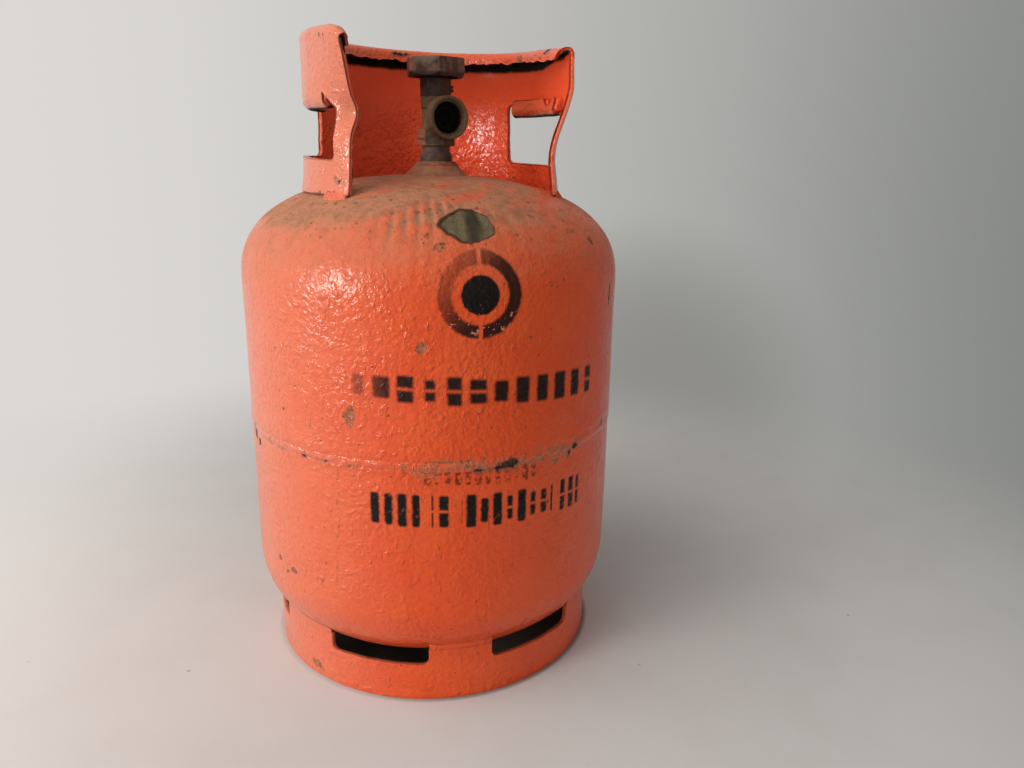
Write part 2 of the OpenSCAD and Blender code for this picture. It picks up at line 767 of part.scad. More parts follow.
module wheel_screw() {
    head_z = wheel_top - recess_h + washer_t;
    color([0.35, 0.28, 0.24])
        difference() {
            union() {
                translate([0, 0, wheel_z + 1.6])
                    cylinder(d = wheel_screw_d, h = head_z - wheel_z - 1.6 + eps);
                translate([0, 0, head_z])
                    cylinder(d = wheel_screw_d + 3.4, h = 2.2);
            }
            translate([-0.6, -5, head_z + 1.1])
                cube([1.2, 10, 2]);
        }
}

upper_shell();
lower_shell();
girth_weld();
foot_ring();
foot_ring_welds();
collar();
collar_welds();
at_valve() valve_bung();
at_valve() bung_weld();
at_valve() valve_body();
at_valve() bonnet_nut();
at_valve() bonnet_gasket();
at_valve() bonnet_lock_screw();
at_valve() spindle();
at_valve() upper_o_ring();
at_valve() lower_o_ring();
at_valve() seat_holder();
at_valve() seat_disc();
at_valve() handwheel();
at_valve() wheel_washer();
at_valve() wheel_screw();
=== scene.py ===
import math

import bmesh
import bpy
import numpy as np
from mathutils import Matrix, Vector


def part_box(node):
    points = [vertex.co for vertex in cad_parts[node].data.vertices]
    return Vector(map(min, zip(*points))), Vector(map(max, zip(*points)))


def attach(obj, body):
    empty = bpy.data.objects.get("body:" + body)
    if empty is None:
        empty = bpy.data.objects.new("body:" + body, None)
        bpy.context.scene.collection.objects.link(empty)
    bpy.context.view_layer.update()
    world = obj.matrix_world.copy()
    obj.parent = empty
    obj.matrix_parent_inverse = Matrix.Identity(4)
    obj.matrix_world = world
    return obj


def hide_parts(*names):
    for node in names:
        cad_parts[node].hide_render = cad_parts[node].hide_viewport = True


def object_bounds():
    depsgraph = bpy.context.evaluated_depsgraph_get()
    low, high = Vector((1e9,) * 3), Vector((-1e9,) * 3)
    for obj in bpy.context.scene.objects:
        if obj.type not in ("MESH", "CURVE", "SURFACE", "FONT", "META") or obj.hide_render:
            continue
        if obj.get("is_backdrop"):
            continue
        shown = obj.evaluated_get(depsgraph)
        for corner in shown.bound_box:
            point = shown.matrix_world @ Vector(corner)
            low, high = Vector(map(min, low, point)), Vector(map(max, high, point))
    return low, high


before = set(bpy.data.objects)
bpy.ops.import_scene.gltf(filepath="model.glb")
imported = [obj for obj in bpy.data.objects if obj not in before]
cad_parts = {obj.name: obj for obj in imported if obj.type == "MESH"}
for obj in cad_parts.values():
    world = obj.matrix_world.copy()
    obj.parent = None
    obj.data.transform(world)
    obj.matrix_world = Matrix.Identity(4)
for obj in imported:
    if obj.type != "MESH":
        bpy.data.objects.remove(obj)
cad_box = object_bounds()

# Shapes are worked out in millimetres and stored in metres. Angles are in degrees from -Y towards +X.
MM = 0.001


def box_mm(node):
    """Lowest and highest corner of a CAD node, in millimetres."""
    low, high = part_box(node)
    return np.array(low) / MM, np.array(high) / MM


SHELL_LOW, SHELL_HIGH = box_mm("lower_shell")
WELD_LOW, WELD_HIGH = box_mm("girth_weld")
RING_HIGH = box_mm("foot_ring")[1]
COLLAR_LOW, COLLAR_HIGH = box_mm("collar")
BUNG_LOW, BUNG_HIGH = box_mm("valve_bung")
WHEEL_LOW, WHEEL_HIGH = box_mm("handwheel")
VALVE_TOP = box_mm("valve_body")[1][2]

BODY_R = SHELL_HIGH[0]
SHELL_T = 2.6
HEAD_POWER = 2.42         # how square the dished ends' section is
UPPER_HEAD_H = 66.0
LOWER_HEAD_H = 63.3
WALL_H = 184.7
LOW_Z = SHELL_LOW[2] + LOWER_HEAD_H
HIGH_Z = LOW_Z + WALL_H
TOP_Z = HIGH_Z + UPPER_HEAD_H
SEAM_Z = (WELD_LOW[2] + WELD_HIGH[2]) / 2
RING_R = RING_HIGH[0]
RING_T = 3.0
RING_TOP = RING_HIGH[2]
VALVE_X, VALVE_Y = (BUNG_LOW[:2] + BUNG_HIGH[:2]) / 2
FAR = 30.0                # distance stored where there is no chip or patch


# ---------------------------------------------------------------- numbers and noise

def ease(v, lo, hi):
    """0 below lo, 1 above hi, smooth between."""
    t = np.clip((np.asarray(v, float) - lo) / (hi - lo), 0, 1)
    return t * t * (3 - 2 * t)


def hump(v, mid, width):
    """A hump 1 high at v = mid."""
    return np.exp(-(((np.asarray(v, float) - mid) / width) ** 2))


TABLE = np.random.default_rng(11).random((32, 32, 32)) * 2 - 1


def noise(p, size, shift=0.0):
    """Smooth noise from -1 to 1 at the points p, with lumps about size across."""
    q = np.asarray(p, float) / size + shift * 7.31
    i = np.floor(q).astype(int)
    f = q - i
    f = f * f * (3 - 2 * f)
    total = 0.0
    for step in np.ndindex(2, 2, 2):
        w = 1.0
        for k in range(3):
            w = w * (f[..., k] if step[k] else 1 - f[..., k])
        total = total + w * TABLE[tuple((i[..., k] + step[k]) % 32 for k in range(3))]
    return total


def lumps(p, size, shift=0.0):
    """Noise with a finer octave."""
    return (noise(p, size, shift) + 0.5 * noise(p, size / 2.1, shift + 3)) / 1.5


def flat(u, v):
    """Points on a plane, for noise that runs along a sheet."""
    return np.stack([u, v, u * 0], axis=-1)


def polar(r, a, z):
    """Points at radius r, angle a and height z."""
    a = np.radians(a)
    return np.stack(np.broadcast_arrays(r * np.sin(a), -r * np.cos(a), z), axis=-1)


def angle_of(p):
    """Angle of each point, from -180 to 180."""
    return np.degrees(np.arctan2(p[..., 0], -p[..., 1]))


def radius_of(p):
    """Distance of each point from the body's axis."""
    return np.hypot(p[..., 0], p[..., 1])


def valve_radius(p):
    """Distance of each point from the valve's axis."""
    return np.hypot(p[:, 0] - VALVE_X, p[:, 1] - VALVE_Y)


def head_rise(r, a, b):
    """Height of a dished end of radius a and height b above its straight edge."""
    return b * np.maximum(0, 1 - (np.abs(r) / a) ** HEAD_POWER) ** (1 / HEAD_POWER)


def low_head_z(r):
    """Height of the lower end's outside at radius r."""
    return LOW_Z - head_rise(r, BODY_R, LOWER_HEAD_H)


def high_head_z(r):
    """Height of the upper end's outside at radius r."""
    return HIGH_Z + head_rise(r, BODY_R, UPPER_HEAD_H)


# ---------------------------------------------------------------- meshes

def mesh_object(name, points, faces):
    """A smooth-shaded object from points in millimetres."""
    mesh = bpy.data.meshes.new(name)
    mesh.from_pydata((np.asarray(points, float) * MM).tolist(), [], faces)
    mesh.polygons.foreach_set("use_smooth", [True] * len(mesh.polygons))
    mesh.validate()
    mesh.update()
    made = bpy.data.objects.new(name, mesh)
    bpy.context.scene.collection.objects.link(made)
    return made


def read_vertices(obj, what):
    """A three-part number of each vertex."""
    values = np.zeros(len(obj.data.vertices) * 3)
    obj.data.vertices.foreach_get(what, values)
    return values.reshape(-1, 3)


def points_of(obj):
    """The vertices of an object, in millimetres."""
    return read_vertices(obj, "co") / MM


def move_points(obj, points):
    """Sets the vertices of an object, from millimetres."""
    obj.data.vertices.foreach_set("co", (points * MM).ravel())
    obj.data.update()


def press(obj, height, low=-math.inf, high=math.inf):
    """Moves the vertices along their normals by height(points), keeps them between two heights,
    and returns the new points and the old normals."""
    p, n = points_of(obj), read_vertices(obj, "normal")
    p = p + n * height(p)[:, None]
    p[:, 2] = np.clip(p[:, 2], low, high)
    move_points(obj, p)
    return p, n


def put(obj, **fields):
    """Stores numbers at the vertices, for the materials."""
    count = len(obj.data.vertices)
    for name, values in fields.items():
        layer = obj.data.attributes.new(name, "FLOAT", "POINT")
        layer.data.foreach_set("value", np.array(np.broadcast_to(values, count), np.float32))


def get(obj, name):
    """Reads back the numbers stored by put."""
    values = np.zeros(len(obj.data.vertices), np.float32)
    obj.data.attributes[name].data.foreach_get("value", values)
    return values


def bake_modifiers(obj):
    """Applies the object's modifiers."""
    graph = bpy.context.evaluated_depsgraph_get()
    mesh = bpy.data.meshes.new_from_object(obj.evaluated_get(graph))
    obj.modifiers.clear()
    obj.data = mesh
    mesh.polygons.foreach_set("use_smooth", [True] * len(mesh.polygons))
    mesh.update()


def dress(obj, material, node, body="cylinder"):
    """Gives a new piece its material and its body, and hides the CAD node that it stands for."""
    obj.data.materials.clear()
    obj.data.materials.append(material)
    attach(obj, body)
    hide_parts(node)


def revolved(name, rings, columns):
    """A closed solid of revolution. rings is an array of (radius, height) round its section."""
    angles = np.arange(columns) * 360.0 / columns
    rings = np.asarray(rings, float)
    grid = polar(rings[:, None, 0], angles[None, :], rings[:, None, 1])
    n = len(rings)
    i, j = np.meshgrid(np.arange(n), np.arange(columns), indexing="ij")
    i2, j2 = (i + 1) % n, (j + 1) % columns
    quads = np.stack([i * columns + j, i * columns + j2, i2 * columns + j2, i2 * columns + j], axis=-1)
    return mesh_object(name, grid.reshape(-1, 3), quads.reshape(-1, 4).tolist())


def strands(name, runs, inward):
    """Closed bars. Each run is a list of sections, and each section a list of as many points."""
    points, faces = [], []
    for run in runs:
        first, ring = len(points), len(run[0])
        points += [point for section in run for point in section]
        for start in range(first, first + (len(run) - 1) * ring, ring):
            for k in range(ring):
                a, b = start + k, start + (k + 1) % ring
                faces.append([a, b, b + ring, a + ring] if inward else [a, a + ring, b + ring, b])
        near = [first + k for k in range(ring)]
        far = [first + (len(run) - 1) * ring + k for k in range(ring)]
        faces += [near[::-1], far] if inward else [near, far[::-1]]
    return mesh_object(name, points, faces)


def even(profile, step):
    """The same profile with points about step apart."""
    profile = np.asarray(profile, float)
    length = np.concatenate([[0], np.cumsum(np.linalg.norm(np.diff(profile, axis=0), axis=1))])
    n = max(2, int(round(length[-1] / step)) + 1)
    at = np.linspace(0, length[-1], n)
    return np.stack([np.interp(at, length, profile[:, 0]), np.interp(at, length, profile[:, 1])], axis=1)


def head_line(inset, height, r_end, z, sign, n=400):
    """Half section of a dished end, inset from the body's outside, from its edge to radius r_end."""
    a, b = BODY_R - inset, height - inset
    t_end = math.acos((r_end / a) ** (HEAD_POWER / 2))
    t = np.linspace(0, t_end, n)
    return np.stack([a * np.cos(t) ** (2 / HEAD_POWER), z + sign * b * np.sin(t) ** (2 / HEAD_POWER)], axis=1)


# ---------------------------------------------------------------- damage to the paint

# Places where the paint is off, each given as angle, height, half width and half height
STEEL_CHIPS = [
    (-5.2, 163.4, 6.4, 3.0), (-8.6, 161.6, 4.0, 1.6), (-14.0, 161.4, 2.2, 1.0), (18.2, 163.4, 2.6, 2.2),
    (15.9, 161.0, 1.3, 2.4), (-93.0, 161.0, 1.8, 4.6), (-89.5, 157.4, 2.2, 2.2), (36.0, 168.0, 1.0, 3.2),
    (37.6, 252.0, 0.9, 4.2), (-64.0, 163.6, 1.6, 0.6), (-57.0, 162.8, 1.4, 0.6), (-152.0, 163.0, 9.0, 2.6),
    (-146.0, 161.5, 5.0, 1.6), (92.0, 163.0, 7.0, 1.8), (99.0, 162.0, 3.0, 1.2), (168.0, 231.0, 2.0, 1.4),
    (170.4, 234.0, 1.4, 2.4), (146.0, 96.0, 2.4, 1.4),
]
PRIMER_CHIPS = [
    (-48.2, 195.6, 2.5, 3.6), (-48.6, 190.0, 2.2, 3.4), (-49.6, 193.0, 1.6, 2.2), (-29.0, 235.0, 2.6, 3.4),
    (-72.0, 81.0, 3.0, 2.0), (-79.0, 84.0, 1.8, 1.6), (-75.0, 78.0, 1.2, 1.4), (118.0, 205.0, 3.4, 2.0),
    (121.0, 208.0, 2.0, 1.6), (-171.0, 118.0, 2.4, 4.0), (-112.0, 121.0, 3.4, 1.6), (-23.6, 289.4, 3.2, 2.2),
    (-27.6, 294.6, 1.4, 1.2), (21.0, 294.0, 3.0, 1.0), (29.5, 288.0, 2.6, 2.4),
]
RING_STEEL = [(151.0, 9.0, 3.0, 2.4), (60.0, 1.0, 5.0, 0.6)]
RING_PRIMER = [(-71.0, 7.8, 4.2, 2.6), (-68.5, 5.4, 2.2, 1.4), (201.0, 12.0, 3.0, 4.0)]
RING_WELD_PRIMER = [(44.6, 30.0, 1.2, 2.4), (-52.0, 33.0, 1.0, 2.0)]
COLLAR_STEEL = [
    (-66.0, 321.0, 2.0, 1.0), (-68.5, 321.8, 1.4, 0.8), (66.0, 402.0, 2.4, 1.2), (172.0, 404.5, 4.0, 1.2),
    (232.0, 402.0, 3.0, 1.6), (-76.0, 401.0, 0.4, 0.5), (-72.0, 400.0, 0.4, 0.6),
]
COLLAR_PRIMER = [
    (-72.0, 313.6, 5.5, 1.3), (-79.0, 313.4, 4.0, 1.0), (-68.0, 313.8, 3.0, 0.9), (105.0, 319.0, 3.0, 1.6),
    (196.0, 350.0, 3.0, 4.0), (95.0, 398.0, 3.2, 4.4),
]
# Outline of the bare patch on the upper end: angle and radius
PATCH = [(-24.3, 105.5), (-22.0, 100.5), (-16.3, 93.0), (-12.7, 92.6), (-9.9, 96.5), (-8.2, 100.5),
         (-7.4, 109.0), (-10.6, 113.2), (-17.0, 114.6), (-20.4, 110.8)]


def chip_field(p, chips):
    """Signed distance in millimetres to the nearest chip, negative inside it."""
    a, z, r = angle_of(p), p[..., 2], radius_of(p)
    best = np.full(a.shape, FAR)
    for angle, height, wide, high in chips:
        du = np.radians((a - angle + 180) % 360 - 180) * r
        d = np.sqrt((du / wide) ** 2 + ((z - height) / high) ** 2)
        best = np.minimum(best, (d - 1) * min(wide, high))
    return np.clip(best, -FAR, FAR)


def polygon_field(x, y, corners):
    """Signed distance to a polygon, negative inside it."""
    best = np.full(x.shape, 1e9)
    inside = np.zeros(x.shape, bool)
    for (ax, ay), (bx, by) in zip(corners, corners[1:] + corners[:1]):
        ex, ey = bx - ax, by - ay
        t = np.clip(((x - ax) * ex + (y - ay) * ey) / (ex * ex + ey * ey), 0, 1)
        best = np.minimum(best, np.hypot(x - ax - t * ex, y - ay - t * ey))
        crosses = (ay > y) != (by > y)
        inside ^= crosses & (x < ex * (y - ay) / (ey if abs(ey) > 1e-9 else 1e-9) + ax)
    return np.where(inside, -best, best)


def worn_corners(corners):
    """The same outline with each corner but the first cut off."""
    line = [corners[0]]
    for (ax, ay), (bx, by) in zip(corners, corners[1:] + corners[:1]):
        line.append((0.75 * ax + 0.25 * bx, 0.75 * ay + 0.25 * by))
        line.append((0.25 * ax + 0.75 * bx, 0.25 * ay + 0.75 * by))
    return line


def patch_field(p):
    """Signed distance to the bare patch, measured on a plan of the upper end."""
    corners = worn_corners([tuple(polar(r, a, 0)[:2]) for a, r in PATCH])
    d = polygon_field(p[..., 0], p[..., 1], corners)
    return np.where(p[..., 2] > HIGH_Z, d, FAR)


# ---------------------------------------------------------------- shells and their weld

SHELL_COLUMNS = 540
SEAM_GAP = 4.1            # between the two shells, filled by the weld
DUST_LOW, DUST_HIGH = 281.0, 311.0


def folds(p):
    """Soft radial folds pressed into the shoulder of the upper end, strongest left of the front."""
    a = angle_of(p)
    wave_line = np.sin(np.radians(a * 84) + 3.0 * noise(p, 26, 5)) * (0.55 + 0.6 * noise(p, 17, 6))
    place = hump(radius_of(p), 101, 15) * (p[..., 2] > HIGH_Z) * (0.16 + 0.84 * hump(a, -28, 18))
    return wave_line * place


def skin_relief(p):
    """Outward swell of the painted shell at the points p, in millimetres."""
    a, z = angle_of(p), p[..., 2]
    rise = 0.28 * lumps(p, 46) + 0.16 * lumps(p, 13, 1) + 0.06 * lumps(p, 5.5, 2)
    rise = rise + 0.6 * folds(p)
    # Runs in the paint
    run = np.clip(noise(np.stack([a * 2.2, a * 0, z * 0.12], axis=-1), 9, 8) - 0.35, 0, 1)
    rise = rise + 0.35 * run * (z < HIGH_Z + 20)
    # The wall beside the seam was pressed a little in and out again
    rise = rise + 0.30 * hump(z, SEAM_Z + 7, 5) - 0.25 * hump(z, SEAM_Z - 9, 5)
    return rise


def skin_damage(p):
    """Distances to the bare patch, the steel chips and the primer chips, and how deep they lie."""
    patch = patch_field(p) + 0.8 * noise(p, 6, 21)
    steel = chip_field(p, STEEL_CHIPS)
    primer = chip_field(p, PRIMER_CHIPS)
    depth = 0.40 * ease(-patch, -0.6, 0.9) - 0.30 * hump(patch, 1.4, 1.1) * (0.5 + 0.5 * noise(p, 6, 22))
    depth = depth + 0.22 * ease(-steel, -0.5, 0.6) + 0.18 * ease(-primer, -0.5, 0.6)
    return patch, steel, primer, depth


def finish_skin(obj, outer_rows):
    """Presses the lumps into the outer rows of a shell and stores its damage for the material."""
    p = points_of(obj)
    outer = np.arange(len(p)) < outer_rows * SHELL_COLUMNS
    patch, steel, primer, depth = skin_damage(p)

    def swell(p):
        rise = np.clip(np.where(outer, skin_relief(p) - depth, 0), -1.6, WELD_HIGH[0] - BODY_R - 0.05)
        return rise * ease(np.abs(p[:, 2] - SEAM_Z), 0, 6)

    press(obj, swell)
    dusty_z = p[:, 2] + 8 * hump(angle_of(p), -100, 45)
    # under marks the underside inside the foot ring, darkened in the material: partly dirt, partly painted
    # shade
    under = ease(radius_of(p), RING_R - 3, RING_R - 9) * (p[:, 2] < RING_TOP)
    put(obj, patch=np.where(outer, patch, FAR), steel=np.where(outer, steel, FAR),
        primer=np.where(outer, primer, FAR), dust=outer * ease(dusty_z, DUST_LOW, DUST_HIGH),
        film=outer * ease(dusty_z, DUST_LOW - 26, DUST_LOW + 14), fold=np.where(outer, folds(p), 0),
        under=outer * under)


def build_upper_shell(material):
    bottom = SEAM_Z + SEAM_GAP / 2
    hole = 15.1
    wall = np.array([[BODY_R, bottom], [BODY_R, HIGH_Z]])
    head = head_line(0, UPPER_HEAD_H, hole, HIGH_Z, 1)
    outer = even(np.concatenate([wall, head[1:]]), 1.55)
    inner_head = head_line(SHELL_T, UPPER_HEAD_H, hole, HIGH_Z, 1, 8)
    inner = np.concatenate([inner_head[::-1], [[BODY_R - SHELL_T, bottom]]])
    obj = revolved("upper_shell_skin", np.concatenate([outer, inner]), SHELL_COLUMNS)
    finish_skin(obj, len(outer))
    # The hole for the bung lies on the valve's axis
    p = points_of(obj)
    near = (1 - ease(radius_of(p), hole + 1, 45)) * (p[:, 2] > HIGH_Z)
    p[:, 0] += VALVE_X * near
    p[:, 1] += VALVE_Y * near
    move_points(obj, p)
    dress(obj, material, "upper_shell")


def build_lower_shell(material):
    edge = SEAM_Z - SEAM_GAP / 2
    step_r = BODY_R - SHELL_T - 0.05
    head = head_line(0, LOWER_HEAD_H, 0.6, LOW_Z, -1)
    outer = even(np.concatenate([head[::-1], [[BODY_R, edge]]]), 1.75)
    joggle_top = SHELL_HIGH[2]
    inside = [[step_r, edge + SHELL_T], [step_r, joggle_top], [step_r - SHELL_T, joggle_top],
              [step_r - SHELL_T, edge], [BODY_R - SHELL_T, edge - SHELL_T]]
    inner_head = head_line(SHELL_T, LOWER_HEAD_H, 0.6, LOW_Z, -1, 10)
    obj = revolved("lower_shell_skin", np.concatenate([outer, inside, inner_head]), SHELL_COLUMNS)
    finish_skin(obj, len(outer))
    dress(obj, material, "lower_shell")


def build_girth_weld(material):
    """A low bead, uneven along its length, with the paint drawn over it."""
    crown, half = WELD_HIGH[0] - BODY_R, 4.2
    z = np.linspace(SEAM_Z - half, SEAM_Z + half, 15)
    r = BODY_R - 0.10 + (crown + 0.06) * (0.5 + 0.5 * np.cos((z - SEAM_Z) / half * math.pi))
    root = [[BODY_R - SHELL_T, SEAM_Z + 2.0], [BODY_R - SHELL_T, SEAM_Z - 2.0]]
    obj = revolved("girth_weld_bead", np.concatenate([np.stack([r, z], axis=1), root]), 720)
    p = points_of(obj)
    out = ease(radius_of(p), BODY_R - 0.3, BODY_R + 0.2)
    rise = (0.20 * noise(p, 6, 31) + 0.08 * noise(p, 2.6, 32) - 0.22) * out * hump(p[:, 2], SEAM_Z, 2.6)
    p[:, :2] *= (1 + rise / radius_of(p))[:, None]
    p[:, 2] += 0.7 * noise(flat(p[:, 0], p[:, 1]), 22, 33) * out
    move_points(obj, p)
    put(obj, steel=chip_field(p, STEEL_CHIPS), primer=chip_field(p, PRIMER_CHIPS), dust=0)
    dress(obj, material, "girth_weld")


# ---------------------------------------------------------------- sheet metal with cut-outs

def rounded_box(u, v, u0, u1, v0, v1, corner):
    """Signed distance to a rectangle with round corners, negative inside it."""
    du = np.abs(u - (u0 + u1) / 2) - (u1 - u0) / 2 + corner
    dv = np.abs(v - (v0 + v1) / 2) - (v1 - v0) / 2 + corner
    return np.hypot(np.maximum(du, 0), np.maximum(dv, 0)) + np.minimum(np.maximum(du, dv), 0) - corner


def cut_sheet(name, us, vs, missing, place, thickness, bevel, closed=False):
    """A sheet laid out on the grid us by vs, cut where missing(u, v) is below 0, bent by place(u, v).
    The cut edges follow missing, and "edge" holds the distance to them.
    closed joins the last u to the first."""
    step = us[1] - us[0]
    cells = len(us) if closed else len(us) - 1
    mid_u, mid_v = np.meshgrid(us[:cells] + step / 2, (vs[:-1] + vs[1:]) / 2, indexing="ij")
    keep = missing(mid_u, mid_v) > 0
    i, j = np.meshgrid(np.arange(cells), np.arange(len(vs) - 1), indexing="ij")
    i2 = (i + 1) % len(us)
    quad = [(i, j), (i2, j), (i2, j + 1), (i, j + 1)]
    u, v = np.meshgrid(us, vs, indexing="ij")
    touched = np.zeros(u.shape, bool)
    for corner in quad:
        touched[corner] |= ~keep
    eps = 0.05
    for _ in range(4):
        d = missing(u, v)
        gu = (missing(u + eps, v) - missing(u - eps, v)) / (2 * eps)
        gv = (missing(u, v + eps) - missing(u, v - eps)) / (2 * eps)
        g2 = np.maximum(gu * gu + gv * gv, 0.05)
        move = np.where(touched, np.clip(d / g2, -0.9, 0.9), 0)
        u, v = u - move * gu, v - move * gv
    quads = np.stack([ci * len(vs) + cj for ci, cj in quad], axis=-1)[keep]
    used = np.unique(quads)
    renumber = np.zeros(u.size, int)
    renumber[used] = np.arange(len(used))
    uu, vv = u.ravel()[used], v.ravel()[used]
    obj = mesh_object(name, place(uu, vv), renumber[quads].tolist())
    rim = np.minimum(missing(uu, vv), np.minimum(vv - vs[0], vs[-1] - vv))
    if not closed:
        rim = np.minimum(rim, np.minimum(uu - us[0], us[-1] - uu))
    put(obj, edge=np.clip(rim, 0, 20), sheet_u=uu, sheet_v=vv)
    solid = obj.modifiers.new("thickness", "SOLIDIFY")
    solid.thickness = thickness * MM
    solid.offset = 0
    solid.use_even_offset = True
    round_off = obj.modifiers.new("rounding", "BEVEL")
    round_off.width = bevel * MM
    round_off.segments = 2
    round_off.limit_method = "ANGLE"
    round_off.angle_limit = math.radians(55)
    bake_modifiers(obj)
    return obj


def side_of(obj, place):
    """1 on the side of a bent sheet that was its outside, 0 on the other, from the stored sheet place."""
    u, v = get(obj, "sheet_u").astype(float), get(obj, "sheet_v").astype(float)
    middle = place(u, v)
    across = place(u + 0.2, v) - place(u - 0.2, v)
    along = place(u, v + 0.2) - place(u, v - 0.2)
    out = np.cross(across, along)
    return ease(np.sum((points_of(obj) - middle) * out, axis=1), -0.01, 0.01)


# ---------------------------------------------------------------- foot ring

SLOT_N = 6
SLOT_FIRST = 9.6
SLOT_PITCH = 61.0
SLOT_W = 67.0
SLOT_DEPTH = 11.8
SLOT_CORNER = 4.5


def slot_middles():
    """The angles at which the foot ring's notches lie."""
    return [SLOT_FIRST + i * SLOT_PITCH for i in range(SLOT_N)]


def build_foot_ring(material):
    mid_r = RING_R - RING_T / 2
    turn = 2 * math.pi * mid_r
    arc = turn / 360
    start = slot_middles()[0] - 180 - SLOT_PITCH / 2
    us = start * arc + np.arange(560) * turn / 560
    vs = np.linspace(0, RING_TOP, 29)

    def missing(u, v):
        d = np.full(np.shape(u), 50.0)
        for mid in slot_middles():
            off = (u - mid * arc + turn / 2) % turn - turn / 2
            low, high = RING_TOP - SLOT_DEPTH, RING_TOP + 20
            d = np.minimum(d, rounded_box(off, v, -SLOT_W / 2, SLOT_W / 2, low, high, SLOT_CORNER))
        return d + 0.25 * noise(flat(u, v), 9, 41) * (np.abs(d) < 6)

    def place(u, v):
        p = polar(mid_r, u / arc, v)
        swell = 0.35 * noise(p, 40, 42) + 0.12 * noise(p, 9, 43) - 0.4
        foot = -0.5 * ease(4 - v, 0, 4) * (0.5 + 0.5 * noise(p, 18, 44))
        return polar(mid_r + swell * ease(v, -2, 6) + foot, u / arc, v)

    obj = cut_sheet("foot_ring_sheet", us, vs, missing, place, RING_T - 0.1, 0.6, closed=True)
    p = points_of(obj)
    p[:, 2] = np.maximum(p[:, 2], 0)
    move_points(obj, p)
    # The ring's inner face is darkened in the material: partly dirt, partly painted shade
    inner = ease(RING_R - RING_T - radius_of(p), -0.5, 0.3)
    put(obj, under=inner, steel=chip_field(p, RING_STEEL), primer=chip_field(p, RING_PRIMER),
        dust=0.25 * ease(5 - p[:, 2], 0, 5))
    dress(obj, material, "foot_ring")


def ring_fillet(a, leg):
    """One section of a fillet between the foot ring and the lower end."""
    low, high = RING_R - 0.5, RING_R + leg * 0.9
    z_low, z_high = RING_TOP - leg * 1.1, low_head_z(RING_R + leg * 0.9)
    section = []
    for s in np.arange(9) / 8:
        arch = math.sin(math.pi * s)
        sag = 0.34 * leg * arch
        r = low + (high - low) * s + 0.25 * leg * arch - sag * 0.2
        section.append(polar(r, a, z_low + (z_high - z_low) * s - sag * 0.35))
    root = RING_R - 1.2
    return section + [polar(root, a, z_low + 0.4), polar(root, a, low_head_z(root) + 0.6),
                      polar(high, a, z_high + 0.6)]


def build_ring_welds(material):
    """The fillet on each land between two notches, tapered at both ends, with a drop near its start."""
    runs = []
    half = math.degrees(SLOT_W / 2 / RING_R)
    starts = slot_middles()
    for i, (start, stop) in enumerate(zip(starts, starts[1:] + [starts[0] + 360])):
        a1, a2 = start + half + 0.3, stop - half - 0.3
        run = []
        for t in np.arange(61) / 60:
            end = min(1.0, math.sin(math.pi * min(max(t, 0.004), 0.996)) * 12) ** 0.5
            drop = 1 + 0.6 * math.exp(-((t - 0.09) / 0.03) ** 2)
            leg = 0.65 * end * drop * (1 + 0.08 * math.sin(t * 23 + i))
            run.append(ring_fillet(a1 + (a2 - a1) * t, leg))
        runs.append(run)
    obj = strands("foot_ring_fillets", runs, inward=False)
    put(obj, steel=FAR, primer=chip_field(points_of(obj), RING_WELD_PRIMER), dust=0)
    dress(obj, material, "foot_ring_welds")


# ---------------------------------------------------------------- collar

COLLAR_T = 3.2
COLLAR_FOOT_R = 169 / 2 - COLLAR_T / 2
COLLAR_TOP_R = 161.6 / 2 - COLLAR_T / 2
COLLAR_TAPER = 25.0
COLLAR_A1, COLLAR_A2 = 44.0, 299.0
LEG_A1, LEG_A2 = 6.0, 9.0
HOLE_A1, HOLE_A2 = 59.0, 66.0
RIM_BEND, GRIP_BEND = 3.6, 3.6
LIP_H = 3.0
RELIEF_A = 3.5
LEFT_RELIEF = 2.1         # the left grip's relief is that many times wider
COLLAR_FOOT_Z = COLLAR_LOW[2]
RIM_Z = TOP_Z + 83 - COLLAR_T / 2 - RIM_BEND
HOLE_Z1, HOLE_Z2 = TOP_Z + 8.7, TOP_Z + 47
GRIP_Z = HOLE_Z2 - 3.5
FLAP_END = GRIP_Z - math.pi * GRIP_BEND - 6.5
HOLE_B1 = COLLAR_A1 + LEG_A1
HOLE_B2 = COLLAR_A2 - LEG_A2 - HOLE_A2
DEG = math.radians(1) * COLLAR_TOP_R      # millimetres of sheet for one degree


def collar_r(z):
    """Radius of the middle of the collar's sheet, wider at its foot."""
    return COLLAR_TOP_R + (COLLAR_FOOT_R - COLLAR_TOP_R) * np.exp(-(z - COLLAR_FOOT_Z) / COLLAR_TAPER)


def bend_out(a, z):
    """How far the free ends lean out, and the dent in the left leg."""
    out = 12.5 * hump(a, COLLAR_A1, 20) * ease(z, HOLE_Z1, HOLE_Z2 + 14)
    out = out + 7 * hump(a, COLLAR_A2, 14) * ease(z, HOLE_Z2 - 6, RIM_Z + 6)
    return out - 6.5 * hump(a, COLLAR_A2, 8) * hump(z, (HOLE_Z1 + HOLE_Z2) / 2 + 7.5, 9)


def wave(a, z):
    """How the rim and the lower edge of the hand-holes run up and down."""
    rise = 2 * np.sin(np.radians(a - 130)) * (ease(z, HOLE_Z2, RIM_Z) + hump(z, HOLE_Z1, 8))
    droop = (2.2 * hump(a, COLLAR_A1, 20) + 0.6 * hump(a, COLLAR_A2, 20)) * ease(z, HOLE_Z2, RIM_Z)
    v = np.clip((a - COLLAR_A2) / 3.2 + 1, 0, 0.98)
    corner = 4 * (1 - np.sqrt(1 - v * v)) * ease(z, RIM_Z - 12, RIM_Z)
    return rise - droop - corner


def roll(a):
    """How far the rim is rolled over, in radians: less at the right end."""
    return np.radians(180 - 40 * (1 - ease(a, COLLAR_A1, COLLAR_A1 + 14)))


